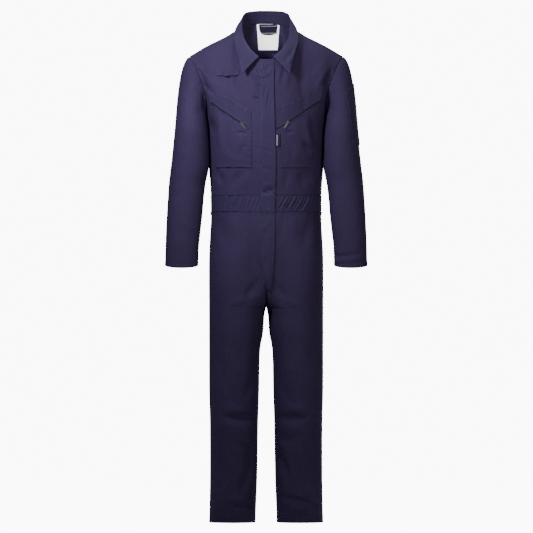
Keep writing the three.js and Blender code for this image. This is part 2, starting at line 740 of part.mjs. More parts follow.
const sleeveColumns = 20;
const sleeveHeadRows = 6;
const sleeveArmRows = 10;
function sleeveRow(row) {
  if (row <= sleeveHeadRows) {
    return row / sleeveHeadRows;
  }
  return 1 + (row - sleeveHeadRows) / sleeveArmRows;
}

// One sleeve in two halves, which meet down its outer side (column 0) and at the underarm
function sleeve(side) {
  const points = [];
  for (let i = 0; i < sleeveColumns; i += 1) {
    points.push([]);
    for (let j = 0; j <= sleeveHeadRows + sleeveArmRows; j += 1) {
      points[i].push(sleevePoint(i / sleeveColumns, sleeveRow(j)));
    }
  }
  const placed = side < 0 ? mirrored(points) : points;
  const normals = gridNormals(placed, true);
  const half = (from) => {
    const order = Array.from({ length: sleeveColumns / 2 + 1 }, (_, k) => (from + k) % sleeveColumns);
    const part = order.map((i) => placed[i].map((point) => point.clone()));
    partFromSeam(part[0], part[1]);
    partFromSeam(part[part.length - 1], part[part.length - 2]);
    return wallGeometry(part, { flip: side < 0, normals: order.map((i) => normals[i]) });
  };
  return { front: half(0), back: half(sleeveColumns / 2) };
}

// Moves a half's edge column half a gap towards the column beside it
function partFromSeam(edge, beside) {
  edge.forEach((point, j) => {
    point.addScaledVector(beside[j].clone().sub(point).normalize(), halfGap);
  });
}

function penPocketGeometry() {
  const points = grid(7, 8, (share, rowShare) => {
    const s = penPocket.frontEdge + (penPocket.rearEdge - penPocket.frontEdge) * share;
    return sleevePoint(s + 1, penPocket.bottom + (penPocket.top - penPocket.bottom) * rowShare);
  });
  return wallGeometry(points, { lift: layGap, thickness: clothThickness });
}

// Collar: a stand that rolls over into the fall
function collarSection(station, side) {
  const at = (name) => {
    const x = side * station[`${name}X`];
    return new THREE.Vector3(x, station[`${name}Y`], station[`${name}Z`]);
  };
  return { seam: at('seam'), roll: at('roll'), edge: at('edge') };
}

function collarColumn(s) {
  const side = s < 0 ? -1 : 1;
  const station = sample(collarStations, 's', Math.abs(s));
  const { seam, roll, edge } = collarSection(station, side);
  const step = 0.02;
  const forward = sample(collarStations, 's', Math.min(Math.abs(s) + step, 1));
  const backward = sample(collarStations, 's', Math.abs(s) < step ? 0 : Math.abs(s) - step);
  const backSide = Math.abs(s) < step ? -side : side;
  const ahead = collarSection(forward, side).roll;
  const behind = collarSection(Math.abs(s) < step ? forward : backward, backSide).roll;
  const tangent = ahead.sub(behind).normalize();
  const radial = new THREE.Vector3(roll.x, roll.y - collarMiddle, 0).normalize();
  const out = radial.addScaledVector(tangent, -radial.dot(tangent)).normalize();
  const up = out.clone().cross(tangent).normalize();
  if (up.z < 0) {
    up.negate();
  }
  const column = [];
  column.push(seam.clone().addScaledVector(up, collarSeamLift).addScaledVector(out, -clothThickness));
  const centre = roll.clone().addScaledVector(up, -collarRollRadius);
  for (let k = 0; k <= collarRollSteps; k += 1) {
    const turn = (Math.PI * k) / collarRollSteps;
    column.push(centre.clone()
      .addScaledVector(out, -Math.cos(turn) * collarRollRadius)
      .addScaledVector(up, Math.sin(turn) * collarRollRadius));
  }
  const start = column[column.length - 1].clone();
  for (let k = 1; k <= collarFallSteps; k += 1) {
    const t = k / collarFallSteps;
    const point = start.clone().lerp(edge, t).addScaledVector(out, collarBow * Math.sin(Math.PI * t));
    column.push(liftOffShoulders(point));
  }
  return column;
}

// The fall lies on the shoulders, clear of them by its own thickness
function liftOffShoulders(point) {
  const rest = collarOffShoulder;
  const facing = point.y < 0 ? -1 : 1;
  const across = Math.abs(point.x);
  const onShoulder = Math.min(across, shoulderEnd);
  const shoulder = across > neckEdge ? line(frontLines, 'x', 'z', onShoulder) : backLines[0].z;
  if (point.z < shoulder + rest) {
    const body = placeOnPanel(facing, Math.max(across, 1), Math.min(point.z, shoulder - 2));
    if (facing * (point.y - body.y) < rest) {
      point.y = body.y + facing * rest;
    }
  }
  return point;
}

function collar() {
  const stations = 28;
  const points = [];
  for (let i = 0; i <= stations; i += 1) {
    points.push(collarColumn(1 - (2 * i) / stations));
  }
  return wallGeometry(points, { lift: -collarWall, thickness: collarWall, flip: true });
}

// A layer sewn on the front: its grid is seen from the front, and its points are the body's, moved out
function frontLayer(columns, rows, placeAt, options = {}) {
  const { thickness = clothThickness, lift = layGap } = options;
  const points = grid(columns, rows, (share, rowShare) => {
    const place = placeAt(share, rowShare);
    const point = onBody(-1, place.x, place.z);
    point.y -= place.proud ?? 0;
    return point;
  });
  return wallGeometry(points, { lift, thickness });
}

function placket() {
  const top = placketLine[0].z;
  const bottom = placketLine[placketLine.length - 1].z;
  return frontLayer(3, 38, (share, rowShare) => {
    const z = bottom + (top - bottom) * rowShare;
    const edges = sample(placketLine, 'z', z);
    const over = z < bandTop + bandReach && z > bandBottom - bandReach ? placketOverBand : 0;
    return { x: edges.sewn + (edges.free - edges.sewn) * share, z, proud: over + placketLift };
  });
}

function chestBand(spec) {
  const outer = chestArmEnd;
  const inner = spec.bandTop[spec.bandTop.length - 1].x;
  return frontLayer(12, 2, (share, rowShare) => {
    const across = spec.side < 0 ? outer + (inner - outer) * share : inner + (outer - inner) * share;
    const high = line(spec.bandTop, 'x', 'z', across);
    const low = line(spec.zipLine, 'x', 'z', across) + zipSlot / 2 + seamGap;
    return { x: spec.side * across, z: low + (high - low) * rowShare };
  });
}

function chestZip(spec) {
  const outer = chestArmEnd - 1;
  const inner = spec.zipEnd;
  return frontLayer(12, 1, (share, rowShare) => {
    const across = spec.side < 0 ? outer + (inner - outer) * share : inner + (outer - inner) * share;
    const middle = line(spec.zipLine, 'x', 'z', across);
    return { x: spec.side * across, z: middle + (rowShare - 0.5) * zipTapeWidth };
  }, { thickness: tapeThickness });
}

function chestPocket(spec) {
  return frontLayer(8, 8, (share, rowShare) => {
    const along = spec.side < 0 ? 1 - share : share;
    const outer = pocketBottomOuter + (pocketTopOuter - pocketBottomOuter) * rowShare;
    const across = pocketInner + (outer - pocketInner) * along;
    const high = line(spec.zipLine, 'x', 'z', across) - zipSlot / 2 - seamGap;
    return { x: spec.side * across, z: pocketBottom + (high - pocketBottom) * rowShare };
  });
}

function radioLoopGeometry() {
  return frontLayer(8, 2, (share, rowShare) => {
    const x = radioLoop.from + (radioLoop.to - radioLoop.from) * share;
    const z = radioLoop.bottom + (radioLoop.top - radioLoop.bottom) * rowShare;
    const along = THREE.MathUtils.clamp((share - radioLoop.openFrom) / radioLoop.openLong, 0, 1);
    const open = Math.sin(Math.PI * along) ** 2;
    const low = 1 - rowShare;
    const bow = radioLoop.bow * (radioLoop.topBow + (1 - radioLoop.topBow) * low);
    return { x, z: z - open * low * radioLoop.sag, proud: open * bow };
  }, { lift: radioLoop.lift });
}

function sideLabelGeometry() {
  return frontLayer(2, 3, (share, rowShare) => ({
    x: sideLabel.from + (sideLabel.to - sideLabel.from) * share,
    z: sideLabel.bottom + (sideLabel.top - sideLabel.bottom) * rowShare,
  }), { thickness: labelThickness });
}

// The back neck seam's depth and height at a place across it, near the middle
function backNeck(x) {
  return { y: backLines[0].y - neckSeamCurve.depth * x * x, z: backLines[0].z - neckSeamCurve.drop * x * x };
}

// A thin sheet that hangs inside the neck from its seam, seen from the front
function hangingSheet(columns, rows, ahead, placeAt, thickness = labelThickness) {
  const points = grid(columns, rows, (share, rowShare) => {
    const place = placeAt(share, rowShare);
    const neck = backNeck(place.x);
    const y = neck.y - ahead + (place.back ?? 0);
    return new THREE.Vector3(place.x, y, Math.min(place.z, neck.z - belowNeckSeam));
  });
  return wallGeometry(points, { thickness, lift: -thickness });
}

function careLabelGeometry() {
  return hangingSheet(4, 5, neckLayers.careLabel, (share, rowShare) => {
    const taper = careLabel.taper * (1 - rowShare);
    const left = careLabel.left + taper;
    const right = careLabel.right - taper;
    return {
      x: left + (right - left) * share,
      z: careLabel.bottom + (careLabel.top - careLabel.bottom) * rowShare,
      back: careLabel.twist * Math.sin(Math.PI * rowShare) * (share - 0.5),
    };
  });
}

function neckLabelGeometry() {
  return hangingSheet(3, 2, neckLayers.neckLabel, (share, rowShare) => ({
    x: neckLabel.left + (neckLabel.right - neckLabel.left) * share,
    z: neckLabel.bottom + (neckLabel.top - neckLabel.bottom) * rowShare,
  }));
}

function hangerLoopGeometry() {
  const middle = (hangerLoop.left + hangerLoop.right) / 2;
  const half = (hangerLoop.right - hangerLoop.left) / 2;
  const tall = hangerLoop.top - hangerLoop.bottom;
  return hangingSheet(16, 1, neckLayers.hangerLoop, (share, rowShare) => {
    const turn = Math.PI * share;
    const reach = 1 - (hangerLoop.wide / half) * rowShare;
    const drop = 1 - (hangerLoop.wide / tall) * rowShare;
    const across = Math.cos(turn);
    const bowed = Math.sign(across) * Math.pow(Math.abs(across), hangerLoop.sideBow);
    return {
      x: middle - half * reach * bowed,
      z: hangerLoop.top - tall * drop * Math.pow(Math.sin(turn), hangerLoop.dropBow),
    };
  }, clothThickness);
}

// Zip slider and tab. In their own frame +X points along the hanging tab, +Z away from the cloth.
const wasm = await Module();
wasm.setup();

function toSolid(geometry) {
  const bare = geometry.clone();
  bare.deleteAttribute('normal');
  bare.deleteAttribute('uv');
  const merged = mergeVertices(bare, 1e-4);
  return new wasm.Manifold(new wasm.Mesh({
    numProp: 3,
    vertProperties: new Float32Array(merged.attributes.position.array),
    triVerts: new Uint32Array(merged.index.array),
  }));
}

function fromSolid(solid) {
  const mesh = solid.getMesh();
  const geometry = new THREE.BufferGeometry();
  geometry.setAttribute('position', new THREE.Float32BufferAttribute(mesh.vertProperties, 3));
  geometry.setIndex(Array.from(mesh.triVerts));
  geometry.computeVertexNormals();
  return geometry;
}

function roundedRectangle(path, left, right, low, high, radius) {
  path.moveTo(left + radius, low);
  path.lineTo(right - radius, low);
  path.absarc(right - radius, low + radius, radius, -Math.PI / 2, 0, false);
  path.lineTo(right, high - radius);
  path.absarc(right - radius, high - radius, radius, 0, Math.PI / 2, false);
  path.lineTo(left + radius, high);
  path.absarc(left + radius, high - radius, radius, Math.PI / 2, Math.PI, false);
  path.lineTo(left, low + radius);
  path.absarc(left + radius, low + radius, radius, Math.PI, Math.PI * 1.5, false);
  return path;
}

function extruded(shape, depth) {
  return new THREE.ExtrudeGeometry(shape, { depth, bevelEnabled: false, curveSegments: cornerSegments });
}

function sliderGeometry() {
  const half = slider.long / 2;
  const plateShape = new THREE.Shape();
  roundedRectangle(plateShape, -half, half, -slider.wide / 2, slider.wide / 2, slider.corner);
  const plate = extruded(plateShape, slider.plate);
  const archHalf = slider.archLong / 2;
  const openTop = slider.plate + slider.archOpen;
  const openHalf = archHalf - slider.archBar;
  const archShape = new THREE.Shape();
  const archTop = openTop + slider.archBar;
  roundedRectangle(archShape, -archHalf, archHalf, slider.plate / 2, archTop, slider.archCorner);
  const opening = new THREE.Path();
  roundedRectangle(opening, -openHalf, openHalf, slider.plate, openTop, slider.openCorner);
  archShape.holes.push(opening);
  const arch = extruded(archShape, slider.archWide);
  arch.rotateX(Math.PI / 2);
  arch.translate(0, slider.archWide / 2, 0);
  return fromSolid(toSolid(plate).add(toSolid(arch)));
}

const tabAxisHeight = slider.plate + slider.archOpen / 2;

function tabGeometry() {
  const half = tab.wide / 2;
  const shape = new THREE.Shape();
  roundedRectangle(shape, -tab.bar / 2, tab.long, -half, half, tab.corner);
  const window = new THREE.Path();
  const windowHalf = tab.windowWide / 2;
  roundedRectangle(window, tab.bar / 2, tab.windowEnd, -windowHalf, windowHalf, tab.windowCorner);
  shape.holes.push(window);
  const grip = new THREE.Path();
  roundedRectangle(grip, tab.gripFrom, tab.gripEnd, -tab.gripWide / 2, tab.gripWide / 2, tab.gripCorner);
  shape.holes.push(grip);
  const geometry = extruded(shape, tab.thick);
  geometry.translate(0, 0, -tab.thick / 2);
  return geometry;
}

// The frame of a slider on the chest: its tab hangs as its own weight holds it
function sliderFrame(spec) {
  const x = spec.side * spec.slider.x;
  const z = spec.slider.z;
  const step = 4;
  const here = onBody(-1, x, z);
  const across = onBody(-1, x + step, z).sub(onBody(-1, x - step, z)).normalize();
  const above = onBody(-1, x, z + step).sub(onBody(-1, x, z - step)).normalize();
  const normal = across.clone().cross(above).normalize();
  const wanted = across.clone().multiplyScalar(-spec.side * Math.cos(tabSlope))
    .addScaledVector(above, -Math.sin(tabSlope)).normalize();
  const axis = normal.clone().cross(wanted).normalize();
  const down = new THREE.Vector3(0, 0, -1);
  const hang = down.clone().addScaledVector(axis, -down.dot(axis)).normalize();
  const outward = hang.clone().cross(axis).normalize();
  const base = here.clone().addScaledVector(normal, layGap + tapeThickness + tabLift);
  return new THREE.Matrix4().makeBasis(hang, axis, outward).setPosition(base);
}

function zipHardware(spec, name) {
  const frame = sliderFrame(spec);
  const body = sliderGeometry().applyMatrix4(frame);
  const pull = tabGeometry().applyMatrix4(new THREE.Matrix4().makeTranslation(0, 0, tabAxisHeight));
  pull.applyMatrix4(frame);
  const tabMesh = named(`zip_tab_${name}`, pull, metalFinish());
  const hingeAt = new THREE.Vector3(0, 0, tabAxisHeight).applyMatrix4(frame);
  const hingeAxis = new THREE.Vector3().setFromMatrixColumn(frame, 1);
  tabMesh.userData = { hingeAt: hingeAt.toArray(), hingeAxis: hingeAxis.toArray() };
  const group = new THREE.Group();
  group.add(named(`zip_slider_${name}`, body, metalFinish()));
  group.add(tabMesh);
  return group;
}

const suit = new THREE.Group();
suit.add(named('front_right', frontPanel(-1), clothFinish(clothColour)));
suit.add(named('front_left', frontPanel(1), clothFinish(clothColour)));
suit.add(named('back', backPanel(), clothFinish(clothColour)));
suit.add(named('collar', collar(), clothFinish(clothColour)));
suit.add(named('waistband_front_right', bandPiece(-1, -1, 0, { ...gathers.frontRight, mirror: true }, 44),
  clothFinish(bandColour)));
suit.add(named('waistband_front_left', bandPiece(-1, 0, 1, gathers.frontLeft, 44), clothFinish(bandColour)));
suit.add(named('waistband_back', bandPiece(1, 1, -1, gathers.back, 90), clothFinish(bandColour)));
for (const [name, side] of [['right', -1], ['left', 1]]) {
  const halves = sleeve(side);
  suit.add(named(`sleeve_front_${name}`, halves.front, clothFinish(clothColour)));
  suit.add(named(`sleeve_back_${name}`, halves.back, clothFinish(clothColour)));
  suit.add(named(`leg_front_${name}`, legPanel(-1, side), clothFinish(clothColour)));
  suit.add(named(`leg_back_${name}`, legPanel(1, side), clothFinish(clothColour)));
  suit.add(named(`chest_band_${name}`, chestBand(chest[name]), clothFinish(bandColour)));
  suit.add(named(`chest_pocket_${name}`, chestPocket(chest[name]), clothFinish(clothColour)));
  suit.add(named(`chest_zip_${name}`, chestZip(chest[name]), clothFinish(trimColour)));
  suit.add(zipHardware(chest[name], name));
}
suit.add(named('front_placket', placket(), clothFinish(clothColour)));
suit.add(named('radio_loop', radioLoopGeometry(), clothFinish(clothColour)));
suit.add(named('pen_pocket', penPocketGeometry(), clothFinish(clothColour)));
suit.add(named('care_label', careLabelGeometry(), clothFinish(labelColour)));
suit.add(named('neck_label', neckLabelGeometry(), clothFinish(trimColour)));
suit.add(named('hanger_loop', hangerLoopGeometry(), clothFinish(trimColour)));
suit.add(named('side_label', sideLabelGeometry(), clothFinish(trimColour)));

export default suit;
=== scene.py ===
"""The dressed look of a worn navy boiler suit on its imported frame.

Sizes in the tables are millimetres in the frame: +X is the wearer's left, the front faces -Y and +Z is
up, with the origin on the shoulders at the middle of the neck. Meshes are made in metres.
"""

import logging
import math
from dataclasses import dataclass, field
from enum import Enum

import bmesh
import bpy
import numpy as np
from mathutils import Matrix, Vector
from mathutils.bvhtree import BVHTree


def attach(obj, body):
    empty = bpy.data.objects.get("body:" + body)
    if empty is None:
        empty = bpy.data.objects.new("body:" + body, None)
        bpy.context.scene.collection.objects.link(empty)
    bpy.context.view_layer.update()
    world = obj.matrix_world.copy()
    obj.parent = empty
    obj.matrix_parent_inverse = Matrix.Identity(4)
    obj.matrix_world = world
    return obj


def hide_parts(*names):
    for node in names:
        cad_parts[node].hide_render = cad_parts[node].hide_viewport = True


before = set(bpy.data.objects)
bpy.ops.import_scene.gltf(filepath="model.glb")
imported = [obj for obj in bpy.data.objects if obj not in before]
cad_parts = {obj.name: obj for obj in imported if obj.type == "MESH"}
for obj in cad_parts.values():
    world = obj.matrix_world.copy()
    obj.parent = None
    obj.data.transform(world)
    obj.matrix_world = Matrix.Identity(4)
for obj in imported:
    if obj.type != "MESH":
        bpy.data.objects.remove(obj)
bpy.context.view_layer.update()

LOG = logging.getLogger("boiler_suit")
MM = 0.001
BODY = "suit"
LOWEST_FILL = 0.301

Values = np.ndarray | float


class Facing(Enum):
    """Which half of the garment a panel belongs to, as the sign of its Y."""

    FRONT = -1
    REAR = 1


class Side(Enum):
    """The wearer's side, as the sign of its X."""

    RIGHT = -1
    LEFT = 1


class Table:
    """A smooth curve through rows of named columns."""

    def __init__(self, key: str, columns: str, *rows: tuple[float, ...]) -> None:
        """Keeps the rows in rising order of their key.

        Args:
            key: the column that the curve is read by.
            columns: the names of the columns, parted by spaces.
            rows: one tuple of numbers a row.
        """
        self.names = columns.split()
        data = np.array(rows, dtype=float)
        data = data[np.argsort(data[:, self.names.index(key)])]
        self.keys = data[:, self.names.index(key)]
        self.data = data

    def column(self, name: str) -> np.ndarray:
        """Returns one column by its name, in rising order of the key."""
        return self.data[:, self.names.index(name)]

    def at(self, where: np.ndarray) -> dict[str, np.ndarray]:
        """Reads every column at the places given.

        Args:
            where: values of the key, held inside the table's ends.

        Returns:
            A cubic through the rows for each column, by name.
        """
        keys = self.keys
        where = np.clip(np.asarray(where, dtype=float), keys[0], keys[-1])
        low = np.clip(np.searchsorted(keys, where, side="right") - 1, 0, len(keys) - 2)
        span = keys[low + 1] - keys[low]
        t = (where - keys[low]) / span
        before = np.maximum(np.arange(len(keys)) - 1, 0)
        after = np.minimum(np.arange(len(keys)) + 1, len(keys) - 1)
        found = {}
        for index, name in enumerate(self.names):
            values = self.data[:, index]
            slope = (values[after] - values[before]) / (keys[after] - keys[before])
            leave, arrive = slope[low] * span, slope[low + 1] * span
            found[name] = hermite(values[low], values[low + 1], leave, arrive, t)
        return found

    def straight(self, name: str, where: np.ndarray) -> np.ndarray:
        """Reads one column along straight runs between the rows."""
        return np.interp(where, self.keys, self.column(name))


def hermite(start: Values, end: Values, leave: Values, arrive: Values, t: Values) -> np.ndarray:
    """Reads a cubic between two values.

    Args:
        start: its value at the share 0.
        end: its value at the share 1.
        leave: its slope at the start.
        arrive: its slope at the end.
        t: the share of the way.

    Returns:
        The cubic's value at the share.
    """
    t2, t3 = t * t, t * t * t
    between = start * (2 * t3 - 3 * t2 + 1) + end * (3 * t2 - 2 * t3)
    return between + leave * (t3 - 2 * t2 + t) + arrive * (t3 - t2)


def smoothstep(value: Values, low: float, high: float) -> np.ndarray:
    """Returns 0 below low, 1 above high and a smooth rise between them."""
    t = np.clip((value - low) / (high - low), 0.0, 1.0)
    return t * t * (3 - 2 * t)


def power(value: Values, squareness: float) -> np.ndarray:
    """Returns the share of a squared ellipse's half width at a sine or cosine."""
    return np.power(np.maximum(value, 0.0), 2.0 / squareness)


def swell(distance: Values, width: float) -> np.ndarray:
    """Returns a soft swell: 1 at no distance, falling off over its width."""
    return np.exp(-((distance / width) ** 2))


def wander(place: Values, pitch: float, seed: float) -> np.ndarray:
    """Reads an uneven wave that is the same on every run.

    Args:
        place: distance along the wave in mm.
        pitch: the usual length of one wave in mm.
        seed: a number that shifts the pattern.

    Returns:
        The wave's height, between about -1 and 1.
    """
    turn = np.asarray(place) * (2 * math.pi / pitch)
    return (
        0.55 * np.sin(turn + seed * 1.7)
        + 0.3 * np.sin(turn * 1.63 + seed * 4.1)
        + 0.2 * np.sin(turn * 0.57 + seed * 2.3)
    )


# The cut of the suit

CHEST_LINE, BAND_TOP, BAND_BOTTOM, CROTCH, HEM = -270.0, -476.0, -523.0, -806.0, -1442.0
FORK_TOP = {Facing.FRONT: -705.0, Facing.REAR: -670.0}
FORK_SIDE, OUTER_SIDE = 0.12, 0.56
BODY_SQUARE, SLEEVE_SQUARE = 2.15, 2.1
NECK_POINT = 0.4375
SEAM_GAP, HALF_GAP = 0.3, 0.15

BODY_SECTIONS = Table(
    "z", "z half front rear wide",
    (-270, 175.2, -132, 114, 20), (-330, 173.2, -130, 112, 18), (-390, 169.5, -123, 108, 12),
    (-430, 166, -118, 105, 8), (-476, 163.5, -114, 103, 5), (-523, 162.8, -113, 105, 5),
    (-560, 164, -114, 111, 6), (-600, 166.4, -115, 119, 7), (-650, 169, -115, 127, 8),
    (-720, 169.6, -113, 129, 8), (-806, 169.3, -109, 124, 8),
)
LEG_SECTIONS = Table(
    "z", "z outer inner front rear wide",
    (-523, 162.8, 0.2, -113, 105, 5), (-560, 164, 0.2, -114, 111, 6), (-600, 166.4, 0.3, -115, 119, 7),
    (-650, 169, 0.5, -115, 127, 8), (-720, 169.6, 0.8, -113, 129, 8), (-806, 169.3, 1.2, -109, 124, 8),
    (-830, 169.3, 5.2, -107, 121, 8), (-880, 169.3, 8.8, -103, 113, 7), (-932, 169.2, 17.6, -99, 105, 6),
    (-1050, 169, 20.6, -95, 92, 2), (-1146, 166.6, 23.6, -93, 84, -3), (-1310, 166.4, 26.4, -82, 83, 0),
    (-1442, 168.6, 31.6, -77, 79, 2),
)
FRONT_LINES = Table(
    "u", "u x y z riseX riseY riseZ meetX meetY meetZ",
    (0, 0, -99, -74, 0, 2, 196, 0, 45, 190), (0.12, 23, -96, -71, -2, 0, 205, -8, 60, 200),
    (0.25, 51, -76, -47, -4, -4, 230, -25, 105, 200), (0.35, 71, -38, -14, -6, -10, 255, -38, 165, 180),
    (0.4375, 77.5, 2, 16, -6, -18, 270, -40, 215, 140), (0.6, 123, 3, -6.4, 0, -70, 240, -8, 215, 95),
    (0.8, 177, 1, -33.4, 2, -165, 215, 18, 205, 95), (1, 227, -2, -63, -40, -215, 190, 105, 190, 140),
)
BACK_LINES = Table(
    "u", "u x y z riseX riseY riseZ meetX meetY meetZ",
    (0, 0, 77, 37.5, 0, 14, 300, 0, -75, 250), (0.12, 26, 74, 35.4, -2, 14, 298, -10, -85, 245),
    (0.25, 52, 58, 30, -4, 14, 290, -25, -120, 220), (0.35, 70, 32, 21.8, -6, 18, 280, -38, -170, 170),
    (0.4375, 77.5, 2, 16, -6, 25, 272, -40, -215, 140), (0.6, 123, 3, -6.4, 0, 70, 240, -8, -215, 95),
    (0.8, 177, 1, -33.4, 2, 150, 215, 18, -205, 95), (1, 227, -2, -63, -34, 190, 190, 105, -190, 140),
)
SLEEVE_RINGS = Table(
    "z", "z outer inner mid deep dip",
    (-300, 272.5, 171.2, -24, 70, 0), (-345, 277, 169, -25, 68, 0), (-396, 282.6, 169.8, -26, 66, 0),
    (-435, 287.4, 177.6, -27, 63, 0), (-482, 290.7, 183.8, -29, 60, 0), (-530, 293.6, 187.8, -33, 57, 1),
    (-577, 296, 193, -39, 53, 3), (-625, 297.5, 198.2, -45, 49, 6), (-681, 299, 200.5, -51, 44, 9),
)
SLEEVE_HEAD = Table(
    "s", "s goX goY goZ",
    (0, 100, -5, -62), (0.12, 84, -42, -66), (0.25, 52, -52, -64), (0.38, 24, -24, -30), (0.5, 14, 2, -6),
    (0.62, 26, 22, -28), (0.75, 58, 46, -60), (0.88, 86, 34, -64), (1, 100, -5, -62),
)
UNDERARM_TURN = math.radians(37)
SLEEVE_CLEARANCE, ARMHOLE_GAP, UNDERARM_RISE = 1.2, 0.75, 12.0
COLLAR_STATIONS = Table(
    "s", "s seamX seamY seamZ rollX rollY rollZ edgeX edgeY edgeZ",
    (0, 0, 77, 37.5, 0, 71, 75, 0, 92, 6), (0.2, 30, 72.5, 34.5, 33, 65, 74, 44, 88, 4),
    (0.4, 60, 48, 26.8, 59.5, 46, 68.5, 80, 57, 3), (0.52, 73, 24, 19.5, 69, 22, 57, 88, 28, 13),
    (0.62, 77, -6, 12, 73.5, -5, 37, 92, -8, 15), (0.75, 71, -38, -14, 67, -44, -6, 94, -52, -17),
    (0.88, 51, -76, -47, 46, -82, -43, 82, -90, -62),
    (1, 23, -98, -69.5, 20.5, -105, -67, 68.5, -121, -115.5),
)
PLACKET_LINE = Table(
    "z", "z sewn free",
    (-82, -15.4, 22.2), (-160, -15.4, 23), (-252, -15.4, 24.6), (-360, -15.4, 27.6), (-420, -15.4, 27.4),
    (-503, -15.6, 24.6), (-575, -18.2, 25), (-648, -20.2, 23.4), (-690, -14, 19.6), (-728, -5, 15.4),
    (-752, 3, 9.4),
)


@dataclass(frozen=True)
class ChestSpec:
    """One chest pocket: its side, the band's upper seam, the zip's middle line and where the zip ends."""

    side: Side
    band_top: Table
    zip_line: Table
    zip_end: float


CHEST = {
    "right": ChestSpec(
        Side.RIGHT,
        Table("x", "x z", (168, -157.5), (107, -189.4), (74.6, -210), (44, -226)),
        Table("x", "x z", (167, -197), (132.6, -223.5), (71, -264), (44, -282)),
        66,
    ),
    "left": ChestSpec(
        Side.LEFT,
        Table("x", "x z", (168, -149.5), (97, -191), (60, -207), (29.5, -218.5)),
        Table("x", "x z", (167, -190), (118, -224), (63, -262), (29.5, -284)),
        57,
    ),
}
ZIP_SLOT, ZIP_TAPE = 8.7, 8.1
POCKET_INNER, POCKET_TOP_OUTER, POCKET_BOTTOM_OUTER, POCKET_BOTTOM = 43.0, 153.0, 147.0, -392.8
CHEST_ARM_END = 163.0


